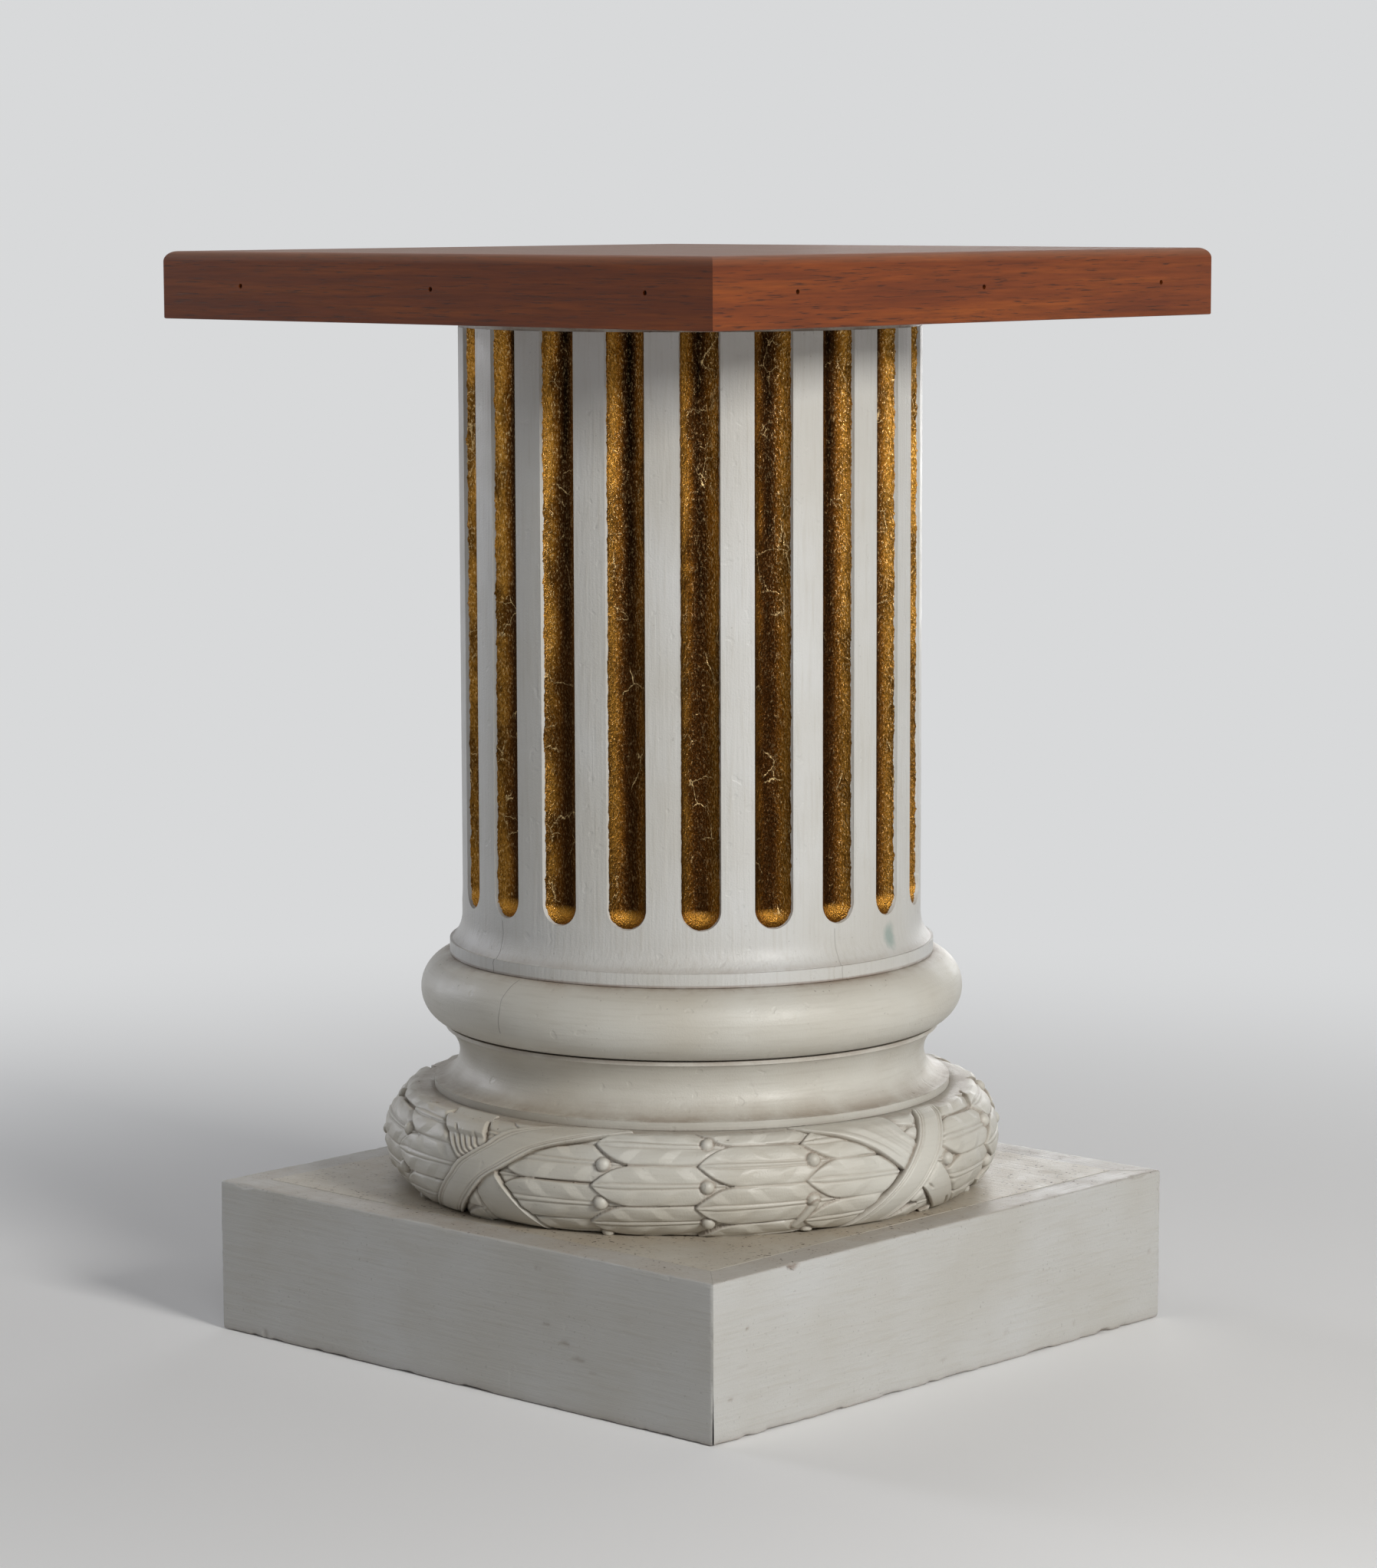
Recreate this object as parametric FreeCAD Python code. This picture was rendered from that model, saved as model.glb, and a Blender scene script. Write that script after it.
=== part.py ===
import FreeCAD, Part
import math
import os

from FreeCAD import Vector

# A painted and gilded column stand. Millimetres, +Z up, origin on the floor under the middle of the plinth.
# Ring angles are in degrees, anticlockwise from +X seen from above. The front corner is at -45.

# driving sizes
stand_height = 740.0
front_corner_angle = -45.0

# square top
top_width = 500.0
top_thickness = 45.0
lipping_width = 22.0
top_arris_radius = 7.0
bottom_arris_radius = 1.0

# lipping nails, three to a side, seen from outside
nail_left_inset = 77.0
nail_middle_shift = 7.0
nail_right_inset = 56.0
nail_head_diameter = 2.9
nail_head_thickness = 1.2
nail_shank_diameter = 1.8
nail_length = 38.0
nail_hole_diameter = 3.2
nail_head_depth = 2.2
nail_clearance = 0.05

# hollow fluted shaft
stave_count = 8
first_stave_joint = -54.0
shaft_radius = 157.0
stave_thickness = 40.0
head_plate_thickness = 6.0
head_plate_inset = 0.5
flute_count = 20
flute_width = 26.8
flute_depth = 11.0
flute_foot_rise = 9.3

# mouldings of the base, from the plinth up; a projection is measured from the shaft's face
plinth_width = 460.0
plinth_height = 104.5
garland_height = 67.0
garland_projection = 50.0
garland_foot_projection = 27.0
lower_fillet_height = 5.3
lower_fillet_projection = 20.0
lower_fillet_lip = 1.5
scotia_height = 35.7
scotia_neck_projection = 2.6
scotia_neck_drop = 18.5
scotia_lower_flare = 3.6
scotia_upper_flare = 2.2
scotia_sag = 1.0
upper_fillet_height = 2.5
upper_fillet_projection = 12.0
upper_fillet_lip = 0.8
torus_height = 48.5
torus_projection = 28.6
cincture_height = 9.2
cincture_projection = 8.7
apophyge_height = 17.5
apophyge_flare = 6.96
apophyge_middle_flare = 1.6

# laurel garland
leaf_width = 26.2
leaf_point_length = 24.0
leaf_point_fullness = 0.8
leaf_point_shares = (0.03, 0.25, 0.6, 1.0)
leaf_length = 98.0
leaf_tip_lift = 3.0
leaf_base_lift = 0.9
leaf_ridge = 0.7
leaf_root_depth = 3.0
leaf_row_pitch = 40.5
leaf_column_pitch = 19.6
leaf_column_count = 5
first_leaf_column = -40.6
odd_column_first_row = -36.0
even_column_first_row = -56.25
berry_radius = 4.7
berry_lead = 1.8
berry_rise = 1.5
carving_room = 5.0

# crossed ribbons
ribbon_width = 21.0
ribbon_lift = 4.8
ribbon_seat_depth = 1.5
ribbon_step = 0.8
ribbon_over_slope = 0.20
ribbon_under_slope = -0.16
ribbon_crossing = 11.0
ribbon_headroom = 3.0
ribbon_reach = 84.0
ribbon_runs = 6
tie_sweep = 60.0

# plinth joinery
board_thickness = 25.0
deck_thickness = 22.0
corner_block_width = 40.0
corner_block_foot = 10.0
plinth_arris_radius = 1.5

# blocks and screws inside
block_thickness = 30.0
screw_clearance = 0.1
screw_head_diameter = 9.0
screw_head_thickness = 4.0
screw_shank_diameter = 4.5
inner_screw_length = 55.0
deck_screw_length = 50.0
inner_screw_inset = 14.0
ring_bore_inset = 27.0
deck_screw_inset = 34.0

# heights that follow, from the floor up
garland_top_z = plinth_height + garland_height
garland_mid_z = plinth_height + garland_height / 2
lower_fillet_z = garland_top_z + lower_fillet_height
upper_fillet_z = lower_fillet_z + scotia_height
scotia_neck_z = upper_fillet_z - scotia_neck_drop
torus_foot_z = upper_fillet_z + upper_fillet_height
torus_top_z = torus_foot_z + torus_height
cincture_top_z = torus_top_z + cincture_height
shaft_foot_z = cincture_top_z + apophyge_height
flute_foot_z = shaft_foot_z + flute_foot_rise
top_foot_z = stand_height - top_thickness
shaft_head_z = top_foot_z - head_plate_thickness
head_block_foot_z = shaft_head_z - block_thickness
foot_block_top_z = torus_top_z + block_thickness

# radii that follow
cincture_radius = shaft_radius + cincture_projection
torus_radius = shaft_radius + torus_projection
upper_fillet_radius = shaft_radius + upper_fillet_projection
scotia_neck_radius = shaft_radius + scotia_neck_projection
lower_fillet_radius = shaft_radius + lower_fillet_projection
garland_core_radius = shaft_radius + garland_projection
garland_foot_radius = shaft_radius + garland_foot_projection
bore_radius = shaft_radius - stave_thickness
ring_bore_radius = bore_radius - ring_bore_inset
inner_screw_ring_radius = bore_radius - inner_screw_inset
deck_screw_ring_radius = garland_foot_radius - deck_screw_inset
garland_bulge = garland_core_radius - garland_foot_radius
core_minor_radius = ((garland_height / 2) ** 2 + garland_bulge ** 2) / (2 * garland_bulge)
core_ring_radius = garland_core_radius - core_minor_radius
leaf_half_width = leaf_width / 2
leaf_face_radius = core_minor_radius + leaf_tip_lift
stave_sweep = 360.0 / stave_count
nail_places = (nail_left_inset, top_width / 2 + nail_middle_shift, top_width - nail_right_inset)


def at_angle(radius, angle, z):
    turn = math.radians(angle)
    return Vector(radius * math.cos(turn), radius * math.sin(turn), z)


def turned(shape, angle):
    copy = shape.copy()
    copy.rotate(Vector(0, 0, 0), Vector(0, 0, 1), angle)
    return copy


def save(name, shape):
    shape.exportStep("parts/" + name + ".step")
    print(name, "solids", len(shape.Solids), "faces", len(shape.Faces), "valid", shape.isValid())


def sector(profile_edges, start_angle, sweep_angle):
    """Turns a closed profile in the XZ plane about the axis, from one ring angle through another."""
    face = Part.Face(Part.Wire(profile_edges))
    return turned(face.revolve(Vector(0, 0, 0), Vector(0, 0, 1), sweep_angle), start_angle)


def line(r1, z1, r2, z2):
    return Part.makeLine(Vector(r1, 0, z1), Vector(r2, 0, z2))


def arc(r1, z1, r2, z2, r3, z3):
    return Part.Arc(Vector(r1, 0, z1), Vector(r2, 0, z2), Vector(r3, 0, z3)).toShape()


def rod(diameter, base, direction, length):
    return Part.makeCylinder(diameter / 2, length, base, direction)


def square_block(width, foot_z, height):
    return Part.makeBox(width, width, height, Vector(-width / 2, -width / 2, foot_z))


# ---- top

def lipping_nail(place, clearance):
    """One nail in the -Y lipping, or with clearance the hole that it is driven into."""
    x = place - top_width / 2
    z = top_foot_z + top_thickness / 2
    inward = Vector(0, 1, 0)
    head_start = -top_width / 2 + nail_head_depth
    shank_start = head_start + nail_head_thickness
    shank_length = nail_length - nail_head_thickness
    shank = rod(nail_shank_diameter + 2 * clearance, Vector(x, shank_start, z), inward, shank_length + clearance)
    if clearance:
        punched_depth = nail_head_depth + nail_head_thickness
        head = rod(nail_hole_diameter, Vector(x, -top_width / 2, z), inward, punched_depth)
    else:
        head = rod(nail_head_diameter, Vector(x, head_start, z), inward, nail_head_thickness)
    return head.fuse(shank).removeSplitter()


def top_lipping():
    """The -Y lipping: mitred at 45 degrees, its outer arrises rounded."""
    half = top_width / 2
    inner = half - lipping_width
    outline = Part.makePolygon([
        Vector(-half, -half, top_foot_z),
        Vector(half, -half, top_foot_z),
        Vector(inner, -inner, top_foot_z),
        Vector(-inner, -inner, top_foot_z),
        Vector(-half, -half, top_foot_z),
    ])
    board = Part.Face(outline).extrude(Vector(0, 0, top_thickness))
    rounded = square_block(top_width, top_foot_z, top_thickness)
    rounded = rounded.makeFillet(top_arris_radius, edges_at(rounded, stand_height))
    rounded = rounded.makeFillet(bottom_arris_radius, edges_at(rounded, top_foot_z))
    board = board.common(rounded)
    for place in nail_places:
        board = board.cut(lipping_nail(place, nail_clearance))
    return board


def edges_at(solid, z):
    return [e for e in solid.Edges if abs(e.BoundBox.ZMin - z) < 0.01 and abs(e.BoundBox.ZMax - z) < 0.01]


def screw_places(count, ring_radius):
    step = 360.0 / count
    return [at_angle(ring_radius, step * (i + 0.5), 0) for i in range(count)]


def screw(place, start_z, length, way, clearance):
    """A countersunk-style screw driven along +Z (way 1) or -Z (way -1), or the hole that it fits."""
    direction = Vector(0, 0, way)
    start = Vector(place.x, place.y, start_z)
    head = rod(screw_head_diameter + 2 * clearance, start, direction, screw_head_thickness)
    shank = rod(screw_shank_diameter + 2 * clearance, start, direction, length + clearance)
    return head.fuse(shank).removeSplitter()


def inner_screws(start_z, way, clearance=0.0):
    places = screw_places(4, inner_screw_ring_radius)
    return [screw(p, start_z, inner_screw_length, way, clearance) for p in places]


def deck_screws(clearance=0.0):
    places = screw_places(8, deck_screw_ring_radius)
    start_z = plinth_height - deck_thickness
    return [screw(p, start_z, deck_screw_length, 1, clearance) for p in places]


def cut_all(solid, tools):
    for tool in tools:
        solid = solid.cut(tool)
    return solid


def top_panel():
    panel = square_block(top_width - 2 * lipping_width, top_foot_z, top_thickness)
    for side in range(4):
        holes = [turned(lipping_nail(place, nail_clearance), 90 * side) for place in nail_places]
        panel = cut_all(panel, holes)
    return cut_all(panel, inner_screws(head_block_foot_z, 1, screw_clearance))


# ---- shaft

def eight_sided_prism(foot_z, height):
    """Its flats face the middle of each stave."""
    corner_radius = bore_radius / math.cos(math.pi / stave_count)
    start = front_corner_angle + first_stave_joint
    corners = [at_angle(corner_radius, start + stave_sweep * i, foot_z) for i in range(stave_count + 1)]
    return Part.Face(Part.makePolygon(corners)).extrude(Vector(0, 0, height))


def flute_cutter(angle):
    """A flute is a round-bottomed groove: an upright cylinder with a ball at its foot."""
    half = flute_width / 2
    chord_inset = shaft_radius - math.sqrt(shaft_radius ** 2 - half ** 2)
    depth = flute_depth - chord_inset
    radius = (half ** 2 + depth ** 2) / (2 * depth)
    centre = shaft_radius - flute_depth + radius
    foot = math.sqrt(radius ** 2 - (centre - shaft_radius) ** 2)
    ball_z = flute_foot_z + foot
    base = at_angle(centre, angle, ball_z)
    groove = Part.makeCylinder(radius, shaft_head_z - ball_z + 1, base)
    return groove.fuse(Part.makeSphere(radius, base)).removeSplitter()


def shaft_stave(index):
    """One stave of the hollow shaft: cincture, apophyge, straight shaft, and its flutes."""
    start = front_corner_angle + first_stave_joint + stave_sweep * index
    flare_radius = shaft_radius + apophyge_flare
    middle_radius = shaft_radius + apophyge_middle_flare
    middle_z = cincture_top_z + apophyge_height / 2
    wedge = sector([
        line(0, torus_top_z, cincture_radius, torus_top_z),
        line(cincture_radius, torus_top_z, cincture_radius, cincture_top_z),
        line(cincture_radius, cincture_top_z, flare_radius, cincture_top_z),
        arc(flare_radius, cincture_top_z, middle_radius, middle_z, shaft_radius, shaft_foot_z),
        line(shaft_radius, shaft_foot_z, shaft_radius, shaft_head_z),
        line(shaft_radius, shaft_head_z, 0, shaft_head_z),
        line(0, shaft_head_z, 0, torus_top_z),
    ], start, stave_sweep)
    stave = wedge.cut(eight_sided_prism(torus_top_z, shaft_head_z - torus_top_z))
    flute_step = 360.0 / flute_count
    for i in range(flute_count):
        angle = front_corner_angle + flute_step * i
        from_start = (angle - start + flute_step) % 360
        if from_start <= stave_sweep + 2 * flute_step:
            stave = stave.cut(flute_cutter(angle))
    return stave


def head_block():
    block = eight_sided_prism(head_block_foot_z, block_thickness)
    return cut_all(block, inner_screws(head_block_foot_z, 1, screw_clearance))


def head_plate():
    plate = Part.makeCylinder(shaft_radius - head_plate_inset, head_plate_thickness, Vector(0, 0, shaft_head_z))
    return cut_all(plate, inner_screws(head_block_foot_z, 1, screw_clearance))


def foot_block():
    block = eight_sided_prism(torus_top_z, block_thickness)
    return cut_all(block, inner_screws(foot_block_top_z, -1, screw_clearance))


# ---- base mouldings

def torus_quadrant(index):
    """A quarter of the half-round upper torus. Its joints are at the middle of each side."""
    start = front_corner_angle - 45 + 90 * index
    half_height = (torus_top_z - torus_foot_z) / 2
    mid_z = torus_foot_z + half_height
    flat_radius = torus_radius - half_height
    quadrant = sector([
        line(ring_bore_radius, torus_foot_z, flat_radius, torus_foot_z),
        arc(flat_radius, torus_foot_z, torus_radius, mid_z, flat_radius, torus_top_z),
        line(flat_radius, torus_top_z, ring_bore_radius, torus_top_z),
        line(ring_bore_radius, torus_top_z, ring_bore_radius, torus_foot_z),
    ], start, 90)
    return cut_all(quadrant, inner_screws(foot_block_top_z, -1, screw_clearance))


def scotia_disc():
    """Lower fillet, a hollow whose lower part sweeps out wider than its upper part, upper fillet."""
    lower_lip_radius = lower_fillet_radius - lower_fillet_lip
    upper_lip_radius = upper_fillet_radius - upper_fillet_lip
    lower_middle_z = (lower_fillet_z + scotia_neck_z) / 2 - scotia_sag
    upper_middle_z = (scotia_neck_z + upper_fillet_z) / 2 + scotia_sag
    hollow = Part.BSplineCurve()
    hollow.interpolate([
        Vector(lower_lip_radius, 0, lower_fillet_z),
        Vector(scotia_neck_radius + scotia_lower_flare, 0, lower_middle_z),
        Vector(scotia_neck_radius, 0, scotia_neck_z),
        Vector(scotia_neck_radius + scotia_upper_flare, 0, upper_middle_z),
        Vector(upper_lip_radius, 0, upper_fillet_z),
    ])
    profile = [
        line(0, garland_top_z, lower_fillet_radius, garland_top_z),
        line(lower_fillet_radius, garland_top_z, lower_fillet_radius, lower_fillet_z),
        line(lower_fillet_radius, lower_fillet_z, lower_lip_radius, lower_fillet_z),
        hollow.toShape(),
        line(upper_lip_radius, upper_fillet_z, upper_fillet_radius, upper_fillet_z),
        line(upper_fillet_radius, upper_fillet_z, upper_fillet_radius, torus_foot_z),
        line(upper_fillet_radius, torus_foot_z, 0, torus_foot_z),
        line(0, torus_foot_z, 0, garland_top_z),
    ]
    return sector(profile, 0, 360)


# ---- laurel garland: the most skilled feature. Leaves lie on a torus-like core, in staggered columns,
# each pointing clockwise and covering the roots of the column before it, with a berry in each notch.

def garland_point(radius, ring_angle, section_angle):
    """A point at a radius from the core's own ring line; the section angle is 0 outwards and 90 up."""
    lean = math.radians(section_angle)
    return at_angle(core_ring_radius + radius * math.cos(lean), ring_angle,
                    garland_mid_z + radius * math.sin(lean))


def band_section(ring_angle, section_angle, half_width, inner_radius, outer_radius, ridge=0.0):
    """A closed section across the core, in the upright plane through the ring angle."""
    spread = math.degrees(half_width / leaf_face_radius)
    low_out = garland_point(outer_radius, ring_angle, section_angle - spread)
    middle = garland_point(outer_radius + ridge, ring_angle, section_angle)
    high_out = garland_point(outer_radius, ring_angle, section_angle + spread)
    low_in = garland_point(inner_radius, ring_angle, section_angle - spread)
    high_in = garland_point(inner_radius, ring_angle, section_angle + spread)
    return Part.Wire([
        Part.Arc(low_out, middle, high_out).toShape(),
        Part.makeLine(high_out, high_in),
        Part.makeLine(high_in, low_in),
        Part.makeLine(low_in, low_out),
    ])


def ring_degrees(length):
    return math.degrees(length / garland_core_radius)


def leaf_section(angle, section_angle, half_width, lift):
    """A leaf's cross section, from its root under the core's face to its ridge."""
    root = core_minor_radius - leaf_root_depth
    return band_section(angle, section_angle, half_width, root, core_minor_radius + lift, leaf_ridge)


def leaf(tip_angle, section_angle):
    """A lance-pointed leaf, highest at its tip and sinking towards its root."""
    sections = []
    for share in leaf_point_shares:
        half = leaf_half_width * math.sin(share * math.pi / 2) ** leaf_point_fullness
        angle = tip_angle + ring_degrees(share * leaf_point_length)
        sections.append(leaf_section(angle, section_angle, half, leaf_tip_lift))
    for share in (0.5, 1.0):
        length = leaf_point_length + share * (leaf_length - leaf_point_length)
        lift = leaf_tip_lift + share * (leaf_base_lift - leaf_tip_lift)
        angle = tip_angle + ring_degrees(length)
        sections.append(leaf_section(angle, section_angle, leaf_half_width, lift))
    return Part.makeLoft(sections, True, False)


def leaf_rows(column):
    """Section angles of the leaves in a column. Odd and even columns are half a row apart."""
    if column % 2:
        return [odd_column_first_row + leaf_row_pitch * i for i in range(3)]
    return [even_column_first_row + leaf_row_pitch * i for i in range(4)]


def garland_core(start, sweep):
    return sector([
        line(ring_bore_radius, plinth_height, garland_foot_radius, plinth_height),
        arc(garland_foot_radius, plinth_height, garland_core_radius, garland_mid_z,
            garland_foot_radius, garland_top_z),
        line(garland_foot_radius, garland_top_z, ring_bore_radius, garland_top_z),
        line(ring_bore_radius, garland_top_z, ring_bore_radius, plinth_height),
    ], start, sweep)


def carving_space(inner_radius, outer_radius, start, sweep):
    """The ring of space between the plinth and the scotia that the carving may fill."""
    return sector([
        line(inner_radius, plinth_height, outer_radius, plinth_height),
        line(outer_radius, plinth_height, outer_radius, garland_top_z),
        line(outer_radius, garland_top_z, inner_radius, garland_top_z),
        line(inner_radius, garland_top_z, inner_radius, plinth_height),
    ], start, sweep)


def garland_section():
    """The quarter round the front corner; the ribbon ties cover its two ends."""
    start = front_corner_angle - 45
    raised = []
    for column in range(leaf_column_count):
        tip = front_corner_angle + first_leaf_column + leaf_column_pitch * column
        berries_show = 0 < column < leaf_column_count - 1
        for angle in leaf_rows(column):
            raised.append(leaf(tip, angle))
            if berries_show:
                notch = garland_point(core_minor_radius + berry_rise, tip + berry_lead,
                                      angle + leaf_row_pitch / 2)
                raised.append(Part.makeSphere(berry_radius, notch))
    section = garland_core(start, 90).fuse(raised)
    outer = garland_core_radius + leaf_tip_lift + berry_radius + carving_room
    return section.common(carving_space(ring_bore_radius, outer, start, 90))


def ribbon_band(mid_angle, slope, crossing_angle, lift):
    """A ribbon that climbs the garland on a slant, as a loft through upright sections."""
    half = ribbon_width / 2 * math.sqrt(1 + 1 / (slope * core_ring_radius / core_minor_radius) ** 2)
    sections = []
    for i in range(ribbon_runs + 1):
        climb = -ribbon_reach + 2 * ribbon_reach * i / ribbon_runs
        ring_angle = mid_angle + slope * (climb - crossing_angle)
        sections.append(band_section(ring_angle, climb, half, core_minor_radius - ribbon_seat_depth,
                                     core_minor_radius + lift))
    return Part.makeLoft(sections, True, False)


def ribbon_tie(headroom=0.0):
    """Two crossed ribbons at the middle of the side left of the front corner.

    With headroom they are the channel that is cleared for them through the leaves.
    """
    mid = front_corner_angle - 45
    over = ribbon_band(mid, ribbon_over_slope, ribbon_crossing, ribbon_lift + headroom)
    under = ribbon_band(mid, ribbon_under_slope, ribbon_crossing, ribbon_lift - ribbon_step + headroom)
    outer = garland_core_radius + ribbon_lift + headroom + carving_room
    room = carving_space(core_ring_radius, outer, mid - tie_sweep / 2, tie_sweep)
    return over.fuse(under).common(room)


# ---- plinth

def plinth_side():
    """The -Y board of the plinth box, mitred, its outer top and bottom arrises eased."""
    half = plinth_width / 2
    inner = half - board_thickness
    outline = Part.makePolygon([
        Vector(-half, -half, 0),
        Vector(half, -half, 0),
        Vector(inner, -inner, 0),
        Vector(-inner, -inner, 0),
        Vector(-half, -half, 0),
    ])
    board = Part.Face(outline).extrude(Vector(0, 0, plinth_height))
    eased = square_block(plinth_width, 0, plinth_height)
    eased = eased.makeFillet(plinth_arris_radius, edges_at(eased, plinth_height) + edges_at(eased, 0))
    return board.common(eased)


def plinth_deck():
    deck = square_block(plinth_width - 2 * board_thickness, plinth_height - deck_thickness, deck_thickness)
    return cut_all(deck, deck_screws(screw_clearance))


def corner_blocks():
    """Four glue blocks behind the mitres, under the deck."""
    half = plinth_width / 2 - board_thickness
    height = plinth_height - deck_thickness
    blocks = []
    for side in range(4):
        block = Part.makeBox(corner_block_width, corner_block_width, height - corner_block_foot,
                             Vector(half - corner_block_width, -half, corner_block_foot))
        blocks.append(turned(block, 90 * side))
    return Part.makeCompound(blocks)


def save_top():
    save("top_panel", top_panel())
    lipping = top_lipping()
    nails = []
    for side in range(4):
        save("top_lipping_%d" % (side + 1), turned(lipping, 90 * side))
        nails += [turned(lipping_nail(place, 0.0), 90 * side) for place in nail_places]
    save("lipping_nails", Part.makeCompound(nails))


def save_shaft():
    """A quarter of the shaft holds five flutes, so a pair of staves repeats at each quarter."""
    stave_pair = [shaft_stave(0), shaft_stave(1)]
    for index in range(stave_count):
        save("shaft_stave_%d" % (index + 1), turned(stave_pair[index % 2], 90 * (index // 2)))
    save("head_plate", head_plate())
    save("head_block", head_block())
    save("top_screws", Part.makeCompound(inner_screws(head_block_foot_z, 1)))
    save("foot_block", foot_block())
    save("foot_screws", Part.makeCompound(inner_screws(foot_block_top_z, -1)))


def save_mouldings():
    for index in range(4):
        save("torus_quadrant_%d" % (index + 1), torus_quadrant(index))
    save("scotia_disc", scotia_disc())
    tie = ribbon_tie()
    channel = ribbon_tie(ribbon_headroom)
    section = cut_all(garland_section(), [channel, turned(channel, 90)])
    section = cut_all(section, deck_screws(screw_clearance))
    for index in range(4):
        save("laurel_garland_%d" % (index + 1), turned(section, 90 * index))
        save("ribbon_tie_%d" % (index + 1), turned(tie, 90 * index))


def save_plinth():
    side_board = plinth_side()
    for index in range(4):
        save("plinth_side_%d" % (index + 1), turned(side_board, 90 * index))
    save("plinth_deck", plinth_deck())
    save("plinth_corner_blocks", corner_blocks())
    save("deck_screws", Part.makeCompound(deck_screws()))


def main():
    os.makedirs("parts", exist_ok=True)
    save_top()
    save_shaft()
    save_mouldings()
    save_plinth()


main()
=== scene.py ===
import math
from functools import partial

import bmesh
import bpy
import numpy as np
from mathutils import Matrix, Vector


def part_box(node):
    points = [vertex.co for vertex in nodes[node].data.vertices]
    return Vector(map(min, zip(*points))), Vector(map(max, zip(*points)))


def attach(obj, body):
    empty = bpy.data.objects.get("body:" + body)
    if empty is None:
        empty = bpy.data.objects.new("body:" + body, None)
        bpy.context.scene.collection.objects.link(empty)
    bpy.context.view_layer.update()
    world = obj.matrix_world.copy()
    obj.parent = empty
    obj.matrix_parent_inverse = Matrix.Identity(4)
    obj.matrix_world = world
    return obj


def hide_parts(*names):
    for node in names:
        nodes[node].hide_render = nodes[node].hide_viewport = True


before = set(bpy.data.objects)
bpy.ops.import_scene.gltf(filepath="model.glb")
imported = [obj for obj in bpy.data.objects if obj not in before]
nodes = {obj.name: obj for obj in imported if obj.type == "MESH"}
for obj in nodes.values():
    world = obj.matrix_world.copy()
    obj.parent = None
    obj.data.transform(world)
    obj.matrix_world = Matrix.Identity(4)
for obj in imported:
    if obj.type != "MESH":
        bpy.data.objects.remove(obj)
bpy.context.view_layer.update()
millimetre = 0.001


def hexColour(code):
    channels = [int(code[i:i + 2], 16) / 255 for i in (1, 3, 5)]
    linear = [c / 12.92 if c <= 0.04045 else ((c + 0.055) / 1.055) ** 2.4 for c in channels]
    return (*linear, 1.0)


def addNode(tree, kind, inputs=(), stops=(), **settings):
    # The kind may end in an operation. An input is a value, a hex colour, a socket, or a node, whose first
    # live output is taken.
    kind, *operation = kind.split()
    node = tree.nodes.new("ShaderNode" + kind)
    if operation:
        node.operation = operation[0]
    for name, value in settings.items():
        setattr(node, name, value)
    for socket, value in inputs.items() if isinstance(inputs, dict) else enumerate(inputs):
        if isinstance(value, bpy.types.Node):
            value = next(output for output in value.outputs if output.enabled)
        if isinstance(value, bpy.types.NodeSocket):
            tree.links.new(value, node.inputs[socket])
        else:
            node.inputs[socket].default_value = hexColour(value) if isinstance(value, str) else value
    for index, (position, colour) in enumerate(stops):
        elements = node.color_ramp.elements
        if index > 1:
            elements.new(position)
        elements[index].position = position
        elements[index].color = hexColour(colour) if isinstance(colour, str) else (*[colour] * 3, 1.0)
    return node


def emptyTree(owner):
    # clears a material or a world and returns what adds nodes to it
    owner.use_nodes = True
    owner.node_tree.nodes.clear()
    return partial(addNode, owner.node_tree)


def newMaterial(name):
    material = bpy.data.materials.new(name)
    return material, emptyTree(material)


def perMetre(millimetres):
    # a texture's scale, from the real spacing of its pattern
    return 1000 / millimetres


def smoothStep(edgeLow, edgeHigh, x):
    t = np.clip((x - edgeLow) / (edgeHigh - edgeLow), 0, 1)
    return t * t * (3 - 2 * t)


# lengths here are metres, unless a note says mm
shaft = {
    "radius": 0.157,  # of the lands between the flutes
    "bore": 0.14,  # nothing nearer the axis is gilded
    "fluteCount": 20,
    "fluteWidth": 0.0268,
    "fluteFoot": 0.2995,
    "gildingInset": 0.0006,  # the leaf stops this far inside the arris
    "gildingWaver": 0.0017,
    "frontAngle": -45.0,  # degrees, a flute faces the front corner
}

# opened joints: how dark, then pairs of height and angle in degrees
cracks = {
    "leftStave": (0.75, (0.262, -99.75), (0.2703, -100.1), (0.2727, -99.6), (0.2769, -99.75),
                  (0.2818, -100.2), (0.2905, -100.25), (0.2975, -100.5)),
    "rightStave": (0.3, (0.2625, -10.4), (0.2711, -10.5), (0.2734, -10.3), (0.2783, -10.2), (0.2965, -10.3)),
    "torus": (0.6, (0.228, -90.95), (0.2315, -90.85), (0.2444, -90.36), (0.2503, -90.6), (0.2552, -90.2),
              (0.2625, -89.6)),
}
crackHalfWidth = 0.00025
crackSpan = 3.0  # degrees either side of its first angle that a crack can reach
crackWaver = 0.006  # radians

# a smear of green-blue on the shaft's foot
stain = {"angle": 9.9, "height": 0.2856, "halfWidth": 0.0075, "halfHeight": 0.009, "colour": "#84968F"}

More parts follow.
